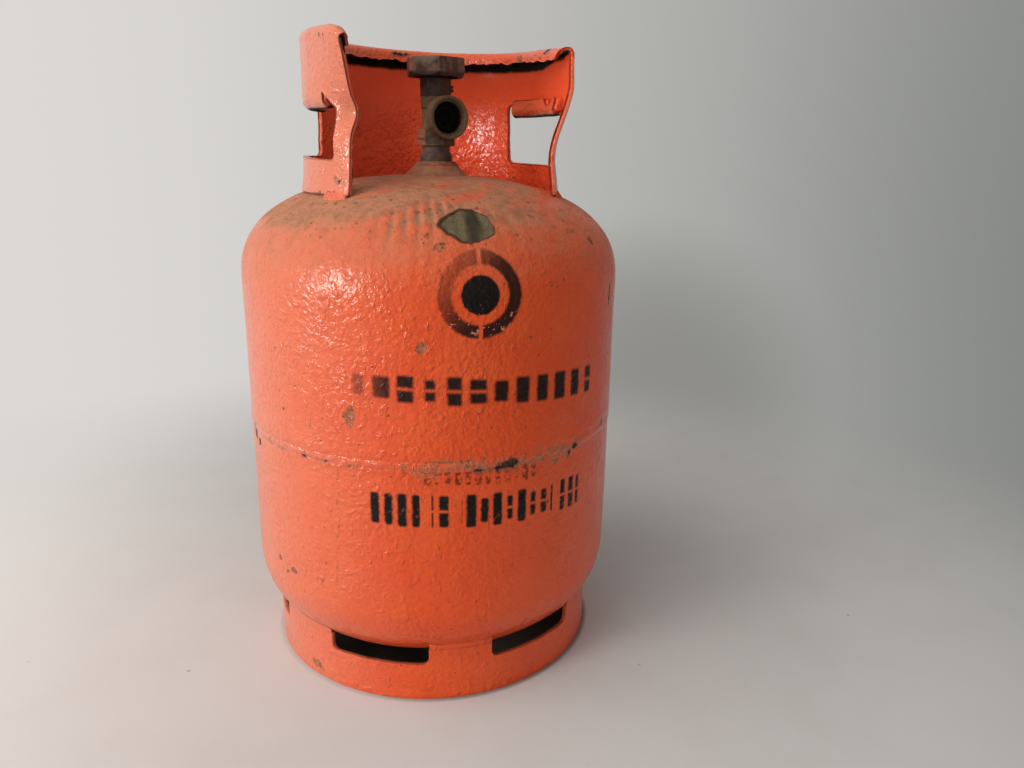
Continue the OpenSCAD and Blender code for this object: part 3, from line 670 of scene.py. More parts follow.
def rim_bend(a):
    """Radius of the rolled rim, pressed nearly flat at the left end."""
    return RIM_BEND - 1.7 * ease(a, COLLAR_A2 - 11, COLLAR_A2 - 1)


RIM_END = RIM_Z + math.pi * RIM_BEND + LIP_H + 1.2


def is_flap(a, v):
    """Is this part of the flat sheet the flap of a grip."""
    one = (a > HOLE_B1 + RELIEF_A * 0.45) & (a < HOLE_B1 + HOLE_A1 - RELIEF_A * 0.45)
    two = (a > HOLE_B2 + RELIEF_A * 0.45) & (a < HOLE_B2 + HOLE_A2 - RELIEF_A * LEFT_RELIEF + 0.5)
    return (one | two) & (v < GRIP_Z) & (v > FLAP_END - 3)


def collar_place(u, v):
    """Bends the flat sheet: u runs round the collar and v up it, along the sheet."""
    a = u / DEG
    bend = rim_bend(a)
    t = np.clip((v - RIM_Z) / bend, 0, roll(a))
    over = np.maximum(0, v - RIM_Z - bend * t)
    r = collar_r(np.minimum(v, RIM_Z)) - bend * (1 - np.cos(t)) - over * np.sin(t)
    z = np.minimum(v, RIM_Z) + bend * np.sin(t) + over * np.cos(t)
    flap = is_flap(a, v)
    g = np.clip((GRIP_Z - v) / GRIP_BEND, 0, math.pi)
    past = np.maximum(0, GRIP_Z - v - GRIP_BEND * math.pi)
    r = np.where(flap, collar_r(GRIP_Z) - GRIP_BEND * (1 - np.cos(g)), r)
    z = np.where(flap, GRIP_Z - GRIP_BEND * np.sin(g) + past, z)
    p = polar(r, a, z)
    free = ease(z, COLLAR_FOOT_Z + 1, COLLAR_FOOT_Z + 12)
    dents = (0.45 * noise(p, 26, 51) + 0.3 * noise(p, 10, 56)) * free
    return polar(r + bend_out(a, z) + dents, a, z + wave(a, z))


def collar_window(u, v, start, width, right):
    """Signed distance to one hand-hole, whose flap is left to be curled into a grip."""
    u0, u1 = start * DEG, (start + width) * DEG
    window = rounded_box(u, v, u0, u1, HOLE_Z1, HOLE_Z2 + 0.6, 3.2)
    gap = RELIEF_A * DEG
    far_gap = gap * (2.3 if right else LEFT_RELIEF)
    flap = rounded_box(u, v, u0 + gap * 0.8, u1 - far_gap, FLAP_END, HOLE_Z2 + 60, 4.5)
    if right:
        scoop = np.hypot((u - (u0 + gap + 11)) / 1.25, v - FLAP_END + 1.0) - 6.0
        flap = np.maximum(flap, -scoop)
    else:
        # The corner beside the leg was never cut out: its edge runs down at a slant
        window = np.maximum(window, 0.67 * (u - u1 + far_gap) + 0.74 * (v - HOLE_Z2 - 0.6))
    return np.maximum(window, -flap)


def collar_missing(u, v):
    """Signed distance to what is cut away from the flat sheet."""
    at = flat(u, v)
    right = collar_window(u, v, HOLE_B1, HOLE_A1, True)
    holes = np.minimum(np.minimum(50.0, right), collar_window(u, v, HOLE_B2, HOLE_A2, False))
    holes = holes + 0.35 * noise(at, 8, 52) * (np.abs(holes) < 5)
    lip = RIM_END - 1.6 - v + 0.7 * noise(at, 7, 53) + 0.8 * noise(at, 2.8, 54)
    lip = lip - 11.5 * ease(-u, -(COLLAR_A1 + 15) * DEG, -COLLAR_A1 * DEG)
    return np.minimum(holes, lip - 3.0 * hump(u, COLLAR_A2 * DEG, 10))


def build_collar(material):
    us = np.linspace(COLLAR_A1 * DEG, COLLAR_A2 * DEG, 401)
    vs = np.concatenate([np.linspace(COLLAR_FOOT_Z, HOLE_Z1, 15)[:-1],
                         np.linspace(HOLE_Z1, HOLE_Z2, 33)[:-1],
                         np.linspace(HOLE_Z2, RIM_Z, 23)[:-1],
                         np.linspace(RIM_Z, RIM_END, 18)])
    obj = cut_sheet("collar_sheet", us, vs, collar_missing, collar_place, COLLAR_T, 0.8)
    outside = side_of(obj, collar_place)
    p, _ = press(obj, lambda q: 0.12 * noise(q, 12, 55) - 0.1, high=COLLAR_HIGH[2])
    a, v = get(obj, "sheet_u") / DEG, get(obj, "sheet_v")
    fold = hump(v, GRIP_Z - GRIP_BEND * math.pi * 0.55, 2.6) * is_flap(a, v)
    right = 9 * ease(-a, -COLLAR_A1 - 40, -COLLAR_A1 - 6)
    left = 3.5 * ease(a, COLLAR_A2 - 46, COLLAR_A2 - 12)
    # Inside, a dark band under the rolled lip: unsprayed metal and painted shadow. Outside, a painted shadow
    # along the curl of each grip.
    soot = np.maximum((1 - outside) * ease(v - right + left, 390, 397), outside * fold)
    dust = 0.75 * ease(COLLAR_FOOT_Z + 9 - p[:, 2], 0, 9) * (1 - 0.6 * outside)
    put(obj, inside=1 - outside, soot=soot, steel=chip_field(p, COLLAR_STEEL),
        primer=chip_field(p, COLLAR_PRIMER), dust=dust)
    dress(obj, material, "collar")


# Each stitch weld at the collar's foot: its first angle and its length, in degrees
COLLAR_WELDS = [(45.5, 13.0), (112.0, 18.0), (158.0, 18.0), (206.0, 18.0), (284.5, 13.0)]


def collar_fillet(a, leg):
    """One section of a weld along the outside of the collar's foot."""
    wall_r = collar_r(COLLAR_FOOT_Z + 2) + COLLAR_T / 2
    top = np.array([wall_r - 0.8, COLLAR_FOOT_Z + leg * 0.95])
    toe = np.array([wall_r + leg, high_head_z(wall_r + leg) - 0.3])
    root = np.array([wall_r - 1.2, COLLAR_FOOT_Z - 1.2])
    section = []
    for s in np.arange(10) / 9:
        q = top * (1 - s) + toe * s
        q = q + (root - q) * 0.16 * math.sin(math.pi * s)
        q = q + np.array([0.4, 0.35]) * math.sin(math.pi * s) * math.sin(a * 5.1)
        section.append(polar(q[0], a, q[1]))
    return section + [polar(toe[0] - 1, a, toe[1] - 1.2), polar(root[0], a, root[1])]


def build_collar_welds(material):
    """Lumpy fillets laid along the outside of the collar's foot."""
    runs = []
    for first, length in COLLAR_WELDS:
        n = max(20, int(length * 2.2))
        run = []
        for t in np.arange(n + 1) / n:
            a = first + length * t
            end = max(0.12, math.sin(math.pi * t)) ** 0.35
            leg = 3.7 * end * (1 + 0.10 * math.sin(a * 3.3) + 0.08 * math.sin(a * 7.9 + 2))
            run.append(collar_fillet(a, leg))
        runs.append(run)
    obj = strands("collar_foot_welds", runs, inward=True)
    put(obj, steel=FAR, primer=FAR, dust=0.35)
    dress(obj, material, "collar_welds")


# ---------------------------------------------------------------- valve and wheel

def copy_solid(node, name):
    """A free copy of a CAD node's mesh."""
    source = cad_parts[node]
    obj = bpy.data.objects.new(name, source.data.copy())
    bpy.context.scene.collection.objects.link(obj)
    obj.data.transform(source.matrix_world)
    return obj


def recast(obj, voxel, smooth_steps):
    """Rounds a solid's edges as casting, handling and corrosion do."""
    remesh = obj.modifiers.new("recast", "REMESH")
    remesh.mode = "VOXEL"
    remesh.voxel_size = voxel * MM
    smooth = obj.modifiers.new("soften", "SMOOTH")
    smooth.factor = 0.5
    smooth.iterations = smooth_steps
    bake_modifiers(obj)


def lathe(name, profile, axis_z=None, columns=96):
    """A closed solid turned about the valve's upright axis, or about the outlet's axis at axis_z."""
    profile = np.asarray(profile, float)
    obj = revolved(name, profile, columns)
    p = points_of(obj)
    if axis_z is not None:
        p = np.stack([p[:, 0], -p[:, 2], p[:, 1] + axis_z], axis=1)
    p[:, 0] += VALVE_X
    p[:, 1] += VALVE_Y
    move_points(obj, p)
    return obj


def join(first, *others):
    """Joins the other objects' meshes into the first."""
    whole = bmesh.new()
    whole.from_mesh(first.data)
    for other in others:
        whole.from_mesh(other.data)
        bpy.data.objects.remove(other)
    bmesh.ops.recalc_face_normals(whole, faces=whole.faces[:])
    whole.to_mesh(first.data)
    whole.free()
    return first


def thread(r_out, r_in, low, high, pitch, side):
    """Section of a ring of parallel threads, cut side (1 outside, -1 inside)."""
    count = int((high - low) / pitch)
    line = []
    for i in range(count):
        z = low + i * pitch
        line += [[r_in, z], [r_out, z + pitch * 0.38], [r_out, z + pitch * 0.62]]
    line += [[r_in, low + count * pitch]]
    back = r_in - side * 0.9
    return line + [[back, low + count * pitch], [back, low]]


OUTLET_Z = 359.2
OUTLET_LEN = 20.0
OUTLET_BORE = 10.4
WRENCH_Z = 341.7
COLUMN_Z = 352.4


def add_valve_details(obj):
    """Joins the outlet's thread and seat, the bead under the bonnet and the neck's thread to the casting."""
    mouth = lathe("mouth", thread(9.55, 10.55, 12.4, 18.4, 1.4, -1), OUTLET_Z)
    ring = [[5.2, 11.2], [7.3, 11.2], [7.3, 12.2], [6.9, 12.6], [5.6, 12.6], [5.2, 12.2]]
    seat = lathe("seat", ring, OUTLET_Z)
    foot, top = COLUMN_Z + 12.4, VALVE_TOP - 0.1
    bead = lathe("bead", [[9.0, foot], [9.9, COLUMN_Z + 13.0], [9.9, VALVE_TOP - 0.5],
                          [9.0, top], [7.6, top], [7.6, foot]])
    neck = lathe("neck", thread(10.35, 9.5, BUNG_HIGH[2] + 0.2, BUNG_HIGH[2] + 4.4, 1.3, 1))
    join(obj, mouth, seat, bead, neck)


def mark_valve(obj, p, n, inner):
    """Stores where the valve has paint spray, a painted slot shade, worn edges and stains, and where its bore
    and inner passages get a painted shade.
    """
    left = -(n[:, 0] * 0.82 + n[:, 1] * 0.57)
    aside = (p[:, 0] - VALVE_X) * 0.9 - (p[:, 1] - VALVE_Y) * 0.44
    spray = ease(left, 0.45, 0.8) * ease(p[:, 2], WRENCH_Z - 2, WRENCH_Z + 1) * ease(-aside, 6.0, 8.5)
    # Painted shade: a dark line across the sprayed face stands for a slot that the shape lacks
    slit_shade = 1 - 0.8 * hump(p[:, 2], WRENCH_Z + 4.4, 0.9)
    from_outlet = np.hypot(p[:, 0] - VALVE_X, p[:, 2] - OUTLET_Z)
    behind = 6 * ease(p[:, 1] + OUTLET_LEN - 2.2 - VALVE_Y, 0, 1.6)
    # Painted shade: the outlet's bore darkens deeper in, and the inner passages are dark
    bore = (from_outlet < OUTLET_BORE + 0.2) & (p[:, 1] < VALVE_Y - 5)
    deep = ease(p[:, 1] - (VALVE_Y - OUTLET_LEN), 1.5, 6.0)
    put(obj, spray=spray * ease(COLUMN_Z + 1.5 - p[:, 2], 0, 1.5) * slit_shade,
        tan=ease(p[:, 2], COLUMN_Z - 1, COLUMN_Z + 2), edge=np.abs(from_outlet - 12.2) + behind,
        violet=hump(p[:, 2], WRENCH_Z - 3.2, 3.4), bore=np.maximum(bore * deep, inner))


def build_valve_body(material):
    obj = copy_solid("valve_body", "valve_body_casting")
    add_valve_details(obj)
    recast(obj, 0.36, 3)
    inner = valve_radius(points_of(obj)) < 8.2

    def crust(p):
        outer = (p[:, 2] > BUNG_HIGH[2] - 1) & (~inner | (p[:, 1] < VALVE_Y - 10.8))
        return (0.16 * noise(p, 3.2, 61) + 0.10 * noise(p, 1.3, 62) - 0.08) * outer

    p, n = press(obj, crust, high=VALVE_TOP)
    mark_valve(obj, p, n, inner)
    dress(obj, material, "valve_body")


def build_bonnet(material):
    obj = copy_solid("bonnet_nut", "bonnet_nut_worn")
    recast(obj, 0.30, 3)
    press(obj, lambda p: (0.12 * noise(p, 2.6, 63) - 0.08) * (valve_radius(p) > 6.5))
    dress(obj, material, "bonnet_nut")


def build_bung(material):
    low, high = BUNG_LOW[2], BUNG_HIGH[2]
    crown = [[15, high - 4.2], [14.4, high - 2.2], [13.2, high - 0.9], [11.8, high - 0.15],
             [10.9, high - 0.15], [10.5, high - 0.6]]
    obj = lathe("bung_turned", [[10.5, low], [15, low]] + even(crown, 0.5).tolist(), None, 140)
    press(obj, lambda p: (0.16 * noise(p, 4, 64) - 0.1) * ease(p[:, 2], TOP_Z - 1, TOP_Z + 2))
    dress(obj, material, "valve_bung")


def build_bung_weld(material):
    """The weld cone round the bung, smooth where it runs into the shell."""
    low = high_head_z(20.6) - 0.35
    line = [[14.9, low - 1.2], [21.4, low - 0.25], [20.4, low + 0.35], [18.6, low + 2.1], [16.6, low + 4.2],
            [15.3, low + 5.9], [14.7, low + 6.6]]
    obj = lathe("bung_weld_cone", even(line, 0.6), None, 150)

    def bead(p):
        return (0.22 * noise(p, 4.5, 65) + 0.1 * noise(p, 1.8, 66)) * ease(p[:, 2], low - 0.4, low + 0.6)

    press(obj, bead)
    dress(obj, material, "bung_weld")


def build_wheel(material):
    obj = copy_solid("handwheel", "handwheel_worn")
    recast(obj, 0.36, 4)
    outer = ease(valve_radius(points_of(obj)), 13.5, 15.0)
    low, high = WHEEL_LOW[2], WHEEL_HIGH[2]

    def dents(p):
        return (-0.35 * np.clip(noise(p, 6.5, 67), 0, 1) + 0.12 * noise(p, 2.4, 68) - 0.06) * outer

    p, _ = press(obj, dents, low, high)
    side = angle_of(p - np.array([VALVE_X, VALVE_Y, 0]))
    tall = ease(p[:, 2], low + 1.5, low + 3.5)
    # under marks the wheel's bottom lip, darkened in the material as a painted shadow
    put(obj, worn=hump(side, -46, 30) * ease(p[:, 2], low + 3, high) * outer,
        spray=hump(side, -82, 14) * tall * outer, under=1 - tall,
        edge=np.abs((side + 11 + 30) % 60 - 30) * 0.35)
    dress(obj, material, "handwheel", "wheel_and_spindle")


# ---------------------------------------------------------------- materials as plain sums

class Val:
    """A number, colour or place inside a material, on which plain arithmetic works."""

    def __init__(self, tree, source):
        self.tree = tree
        self.source = source

    def op(self, kind, *others):
        return Val(self.tree, make_node(self.tree, "Math", self, *others, operation=kind).outputs[0])

    def __add__(self, o):
        return self.op("ADD", o)

    def __sub__(self, o):
        return self.op("SUBTRACT", o)

    def __mul__(self, o):
        return self.op("MULTIPLY", o)

    def __truediv__(self, o):
        return self.op("DIVIDE", o)

    def __rsub__(self, o):
        return (self * -1) + o

    def abs(self):
        return self.op("ABSOLUTE")

    def least(self, o):
        return self.op("MINIMUM", o)

    def most(self, o):
        return self.op("MAXIMUM", o)

    def ease(self, lo, hi):
        """0 at lo and 1 at hi, smooth between. lo may be above hi."""
        ends = (hi, lo, 1, 0) if lo > hi else (lo, hi, 0, 1)
        node = make_node(self.tree, "MapRange", self, *ends, interpolation_type="SMOOTHSTEP")
        return Val(self.tree, node.outputs[0])


def feed(tree, slot_in, value):
    """Links a Val to a socket, or sets a plain value on it."""
    if isinstance(value, Val):
        tree.links.new(value.source, slot_in)
    else:
        slot_in.default_value = value


def make_node(tree, kind, *values, **settings):
    """A new node with its settings and its first inputs given. None leaves an input as it is."""
    node = tree.nodes.new("ShaderNode" + kind)
    for name, setting in settings.items():
        setattr(node, name, setting)
    for slot_in, value in zip(node.inputs, values):
        if value is not None:
            feed(tree, slot_in, value)
    return node


def mix_colours(tree, share, a, b):
    """Colour a, going to colour b as share goes to 1."""
    node = make_node(tree, "Mix", share, data_type="RGBA")
    feed(tree, node.inputs[6], a)
    feed(tree, node.inputs[7], b)
    return Val(tree, node.outputs[2])


def srgb(r, g, b):
    """A colour written as 0 to 255 on screen, as the shader wants it."""
    return tuple(((c / 255 + 0.055) / 1.055) ** 2.4 if c > 10 else c / 255 / 12.92 for c in (r, g, b)) + (1,)


class Paint:
    """One material: a Principled shader, with the pieces of its recipe as methods."""

    def __init__(self, name):
        self.material = bpy.data.materials.new(name)
        self.material.use_nodes = True
        self.tree = self.material.node_tree
        self.tree.nodes.clear()
        self.out = make_node(self.tree, "OutputMaterial")
        self.shader = make_node(self.tree, "BsdfPrincipled")
        self.tree.links.new(self.shader.outputs[0], self.out.inputs[0])
        metres = Val(self.tree, make_node(self.tree, "TexCoord").outputs["Object"])
        scale = make_node(self.tree, "VectorMath", metres, operation="SCALE")
        scale.inputs["Scale"].default_value = 1 / MM
        self.place = Val(self.tree, scale.outputs[0])
        split = make_node(self.tree, "SeparateXYZ", self.place)
        self.x, self.y, self.z = (Val(self.tree, o) for o in split.outputs)

    def turn(self, radius):
        """Millimetres round the axis from -Y towards +X, on a wall of that radius."""
        return self.x.op("ARCTAN2", self.y * -1) * radius

    def from_axis(self):
        """Millimetres from the body's axis."""
        return (self.x * self.x + self.y * self.y).op("SQRT")

    def at(self, x, y, z):
        """Texture coordinates made of three numbers."""
        return Val(self.tree, make_node(self.tree, "CombineXYZ", x, y, z).outputs[0])

    def noise(self, size, detail=2.0, rough=0.5, where=None, seed=0.0):
        """Noise about 0.5, with lumps about size millimetres across."""
        values = (where or self.place, seed, 1 / size, detail, rough)
        return Val(self.tree, make_node(self.tree, "TexNoise", *values, noise_dimensions="4D").outputs[0])

    def cells(self, size, where=None):
        """Distance to the nearest of scattered points, in cell sizes, and a random number for each."""
        node = make_node(self.tree, "TexVoronoi", where or self.place, None, 1 / size)
        split = make_node(self.tree, "SeparateColor", Val(self.tree, node.outputs["Color"]))
        return Val(self.tree, node.outputs["Distance"]), Val(self.tree, split.outputs[0])

    def random(self, value, seed=0.0):
        """A random number from 0 to 1 that holds as long as value does."""
        node = make_node(self.tree, "TexWhiteNoise", None, value + seed, noise_dimensions="1D")
        return Val(self.tree, node.outputs["Value"])

    def stored(self, name):
        """The number that the piece holds at each vertex."""
        node = make_node(self.tree, "Attribute", attribute_name=name)
        return Val(self.tree, node.outputs["Fac"])

    def mix(self, share, a, b):
        """Colour a, going to colour b as share goes to 1."""
        return mix_colours(self.tree, share, a, b)

    def finish(self, colour, roughness, height, metallic=0.0, **fixed):
        """Sets colour, roughness and height in millimetres, and returns the material."""
        feed(self.tree, self.shader.inputs["Base Color"], colour)
        feed(self.tree, self.shader.inputs["Roughness"], roughness)
        feed(self.tree, self.shader.inputs["Metallic"], metallic)
        for strength, normal in ((1, "Normal"), (0.7, "Coat Normal")):
            bump = make_node(self.tree, "Bump")
            bump.inputs["Distance"].default_value = MM
            bump.inputs["Strength"].default_value = strength
            feed(self.tree, bump.inputs["Height"], height)
            self.tree.links.new(bump.outputs[0], self.shader.inputs[normal])
        for name, value in fixed.items():
            self.shader.inputs[name.replace("_", " ")].default_value = value
        return self.material


ORANGE = srgb(224, 77, 24)
ORANGE_DEEP = srgb(196, 56, 22)
ORANGE_PALE = srgb(230, 98, 42)
# Pale chalky orange of the lit side: partly chalked paint, partly painted sheen
CHALK_AND_SHEEN = srgb(222, 140, 110)
DUST = srgb(172, 126, 96)
DUST_DARK = srgb(122, 88, 66)
STEEL = srgb(80, 54, 38)
STEEL_DARK = srgb(44, 29, 20)
OLIVE = srgb(104, 92, 68)
RUST = srgb(92, 48, 28)
TAN = srgb(182, 104, 66)
PRINT = srgb(13, 8, 6)
DARK = srgb(16, 13, 11)


def block_row(m, u, v, middle, slope, left, right, pitch, gap, height, seed, soft):
    """A line of plain stencilled blocks of uneven height, from u = left to u = right."""
    rise = (v - (u * slope + middle)).abs()
    along = (u - left) / pitch
    number = along.op("FLOOR")
    inside = (along - number - 0.5).abs() * pitch
    draw = m.random(number, seed)
    half_w = draw * (pitch * 0.16) + (pitch - gap) / 2 - pitch * 0.16
    half_h = (draw * 7.0).op("FRACT").ease(0.3, 0.7) * (height * 0.13) + height * 0.37
    wide, tall = (inside - half_w + 1.6).most(0), (rise - half_h + 1.6).most(0)
    d = (wide * wide + tall * tall).op("SQRT") - 1.6
    d = d.most((u - (left + right) / 2).abs() - (right - left) / 2)
    whole = (draw * 13.0).op("FRACT").ease(0.45, 0.5) * 40.0
    d = d.most(0.8 - rise - whole)
    return d.ease(soft, -soft)


def prints(m, u, v):
    """The stencilled marks on the front, as plain shapes: a roundel and three lines of blocks."""
    edge = (m.noise(2.2, 3, seed=3) - 0.5) * 1.8
    du, dv = u + 30.4, v - 264.0
    away = (du * du + dv * dv).op("SQRT") + edge
    disc = away.ease(11.6, 10.4)
    ring = (away - 20.4).abs().ease(5.0, 2.8)
    bridges = du.abs().ease(0.9, 1.5)
    weight = (du * 0.5 - dv * 0.35).ease(-20.0, 4.0) * 0.62 + 0.34
    mark = disc.most(ring * bridges * weight)
    uu = u + edge
    first = block_row(m, uu, v, 207.6, -0.055, -107.0, 58.0, 13.75, 3.4, 17.0, 1.0, 1.3)
    first = first * (u.ease(-112.0, -78.0) * 0.62 + 0.36)
    second = block_row(m, uu, v, 156.2, -0.05, -64.0, 8.0, 6.0, 1.7, 11.0, 5.0, 0.9)
    worn = m.noise(3.0, 3, seed=9).ease(0.40, 0.56)
    second = second * worn * 0.72
    third = block_row(m, uu, v, 134.8, -0.044, -96.0, 46.0, 8.1, 1.9, 21.0, 8.0, 0.9)
    spaces = (u + 62.0).abs().ease(3.0, 3.6) * (u + 44.5).abs().ease(3.0, 3.6)
    spaces = spaces * (u - 24.0).abs().ease(3.0, 3.6)
    third = third * spaces * (m.noise(4.0, 3, seed=12).ease(0.28, 0.40) * 0.3 + 0.7)
    mark = mark.most(first).most(second).most(third)
    flakes = m.noise(2.6, 3, seed=15).ease(0.60, 0.63) * (v - 249.0).abs().ease(9.0, 3.0)
    return mark * (flakes * -1 + 1), flakes * mark


def ragged(m, name, fine):
    """A stored distance with its outline broken up."""
    return m.stored(name) + (m.noise(4.0, 4, 0.65, seed=40) - 0.5) * 7.5 + fine


def old_orange(m, u, v):
    """The colour of the paint, paler and chalky on the side towards the window light: partly chalked paint,
    partly a painted sheen.
    """
    colour = m.mix(m.noise(34, 4, seed=4).ease(0.35, 0.7) * 0.4, ORANGE, ORANGE_PALE)
    colour = m.mix(m.noise(9, 4, 0.6, seed=5).ease(0.5, 0.75) * 0.3, colour, ORANGE_DEEP)
    streak = m.noise(14, 3, where=m.at(u, v * 0.12, 0.0), seed=6)
    colour = m.mix(streak.ease(0.55, 0.75) * 0.15, colour, ORANGE_DEEP)
    # Painted sheen, partly real chalking: the side facing the window light goes towards a pale chalky orange
    chalk_and_sheen_side = m.x * -0.94 + m.y * 0.34 + (m.noise(30, 3, seed=41) - 0.5) * 30.0
    chalk_and_sheen_side = chalk_and_sheen_side / m.from_axis()
    colour = m.mix(chalk_and_sheen_side.ease(0.10, 1.15) * 0.62, colour, CHALK_AND_SHEEN)
    return m.mix(m.noise(2.2, 3, 0.6, seed=47).ease(0.5, 0.72) * 0.3, colour, ORANGE_DEEP)


def seam_dirt(m, u, v, colour):
    """Rubbed, dirty paint along the seam, most of it at the front."""
    rub = m.noise(5.0, 5, 0.65, where=m.at(u * 0.5, v, 3.0), seed=20) - (v - SEAM_Z + 1.5).abs() * 0.030
    front = (u + 12.0).abs().ease(75.0, 30.0) * 0.13
    rub = (rub + front).ease(0.48, 0.58)
    colour = m.mix(rub * 0.7, colour, TAN)
    specks = m.noise(1.4, 4, 0.7, seed=21).ease(0.52, 0.60) * rub
    return m.mix(specks * 0.9, colour, srgb(98, 62, 44))


def dust_veil(m, shell):
    """How much dust lies on each place: soft at its edge, wiped away in curved streaks."""
    dust = m.stored("dust")
    veil = dust * 1.35 + (m.noise(26, 4, 0.6, seed=22) - 0.5) * 1.5
    veil = veil + (m.noise(6, 4, 0.65, seed=24) - 0.5) * 0.7 - 0.38
    if not shell:
        return veil.ease(0.0, 0.80) * dust.ease(0.0, 0.35)
    around = m.from_axis()
    wiped = m.noise(15, 3, where=m.at(m.turn(40.0) + around * 0.5, around * 0.42, 1.0), seed=42)
    veil = veil - wiped.ease(0.46, 0.74) * 0.85 * around.ease(38.0, 62.0) - m.stored("fold") * 0.30
    veil = veil.ease(-0.05, 0.95) * dust.ease(0.0, 0.5)
    film = m.stored("film") * (m.noise(17, 4, 0.6, seed=46).ease(0.2, 0.75) * 0.42 + 0.18)
    return veil.most(film)


def dusted(m, colour, veil):
    """Colour under its dust, with grit in it."""
    powder = m.mix(m.noise(7, 5, 0.65, seed=23).ease(0.42, 0.66) * 0.6, DUST, DUST_DARK)
    gap, pick = m.cells(3.6)
    grit = (gap * 3.6).ease(0.9, 0.4) * pick.ease(0.74, 0.76)
    gap, pick = m.cells(8.0)
    crumb = (gap * 8.0 + (m.noise(1.5, 3, seed=49) - 0.5) * 3.0).ease(1.5, 0.9)
    grit = grit.most(crumb * pick.ease(0.72, 0.74))
    grit = grit * veil.ease(0.3, 0.6)
    colour = m.mix(veil * 0.86, colour, powder)
    colour = m.mix(m.noise(1.8, 4, 0.7, seed=50).ease(0.52, 0.68) * veil * 0.5, colour, srgb(118, 82, 60))
    return m.mix(grit * 0.8, colour, srgb(84, 54, 40))


def dirt_spots(m, fine):
    """Small pits, and larger specks of dirt."""
    gap, pick = m.cells(7.5)
    pit = (gap * 7.5 + fine * 0.5).ease(0.85, 0.4) * pick.ease(0.78, 0.80)
    shifted = m.at(m.x + 31.0, m.y - 17.0, m.z + 5.0)
    gap2, pick2 = m.cells(17.0, where=shifted)
    spot = (gap2 * 17.0 + fine * 1.8).ease(1.3, 0.6) * pick2.ease(0.76, 0.78)
    return pit, spot


def old_scars(m, u, v, fine):
    """A group of pits beside the roundel, and a scratch down the left of the front."""
    du, dv = u - 22.0, v - 267.0
    region = (du * du / 80.0 + dv * dv / 26.0 + fine * 0.5).ease(1.3, 0.7)
    cluster = (m.cells(3.2)[0] * 3.2 + fine * 0.3).ease(0.9, 0.5) * region
    wander = fine * 1.1 + (m.noise(9, 2, seed=53) - 0.5) * 3.6
    along = (u + 116.7 - (v - 116.0) * 0.041 + wander).abs().ease(1.2, 0.3)
    along = along * (v - 116.0).abs().ease(58.0, 50.0)
    return (along * m.noise(5.0, 4, 0.7, seed=45).ease(0.49, 0.60) * 0.6).most(cluster)


def cracks(m, u, v, fine):
    """A broken crack down the left grip."""
    line = (u + 122.0 + fine * 0.6 + (m.noise(12, 2, seed=51) - 0.5) * 4.0).abs().ease(0.8, 0.3)
    return line * (v - 384.0).abs().ease(13.0, 9.0) * m.noise(2.6, 3, 0.6, seed=52).ease(0.46, 0.54)


def bare_patch(m, u, colour, fine):
    """The bare metal patch on the upper end, with its dark outline and one dark band."""
    patch = m.stored("patch")
    patch = patch + (m.noise(2.6, 4, 0.65, seed=48) - 0.5) * 2.6
    bare = patch.ease(0.15, -0.25)
    band = (u + 29.5 + (m.noise(8, 3, seed=27) - 0.5) * 9.0).abs().ease(7.0, 1.0)
    metal = m.mix(m.noise(5, 4, seed=28).ease(0.4, 0.7), OLIVE, srgb(88, 76, 56))
    metal = m.mix(band * 0.85, metal, srgb(48, 41, 32))
    metal = m.mix(m.noise(1.3, 2, seed=29).ease(0.62, 0.7) * 0.6, metal, STEEL_DARK)
    colour = m.mix(bare, colour, metal)
    thick = (u + 42.0 + fine).ease(14.0, -6.0) * 0.9 + 0.45
    line = (patch - 0.2).abs() / thick
    return bare, m.mix(line.ease(1.4, 0.4) * 0.85, colour, srgb(56, 36, 26))


def chipped(m, colour, fine):
    """The colour with chips down to primer, rust and steel, and how far primer and steel show."""
    primer = ragged(m, "primer", fine).ease(0.4, -0.3)
    chip = ragged(m, "steel", fine)
    steel = chip.ease(0.15, -0.35)
    colour = m.mix((chip - 0.3).abs().ease(1.2, 0.2) * 0.75, colour, srgb(150, 78, 52))
    undercoat = m.mix(m.noise(2.4, 4, 0.65, seed=25).ease(0.4, 0.6), TAN, srgb(116, 70, 48))
    colour = m.mix(primer, colour, undercoat)
    metal = m.mix(m.noise(3.0, 4, 0.6, seed=26).ease(0.4, 0.62), STEEL, STEEL_DARK)
    return m.mix(steel, colour, metal), primer, steel


def lumpy(m, u):
    """Height of the paint: orange peel, crusts and runs."""
    peel = m.noise(3.2, 2, 0.45, seed=32) * 1.05 + m.noise(1.6, 2, 0.4, seed=33) * 0.26
    crust = m.noise(5.5, 4, 0.55, seed=34).ease(0.54, 0.70) * 0.42
    run = m.noise(3.4, 2, where=m.at(u, m.z * 0.30, 7.0), seed=43).ease(0.66, 0.80) * 0.55
    return peel * (m.noise(40, 2, seed=44).ease(0.3, 0.7) * 0.6 + 0.65) + crust + run


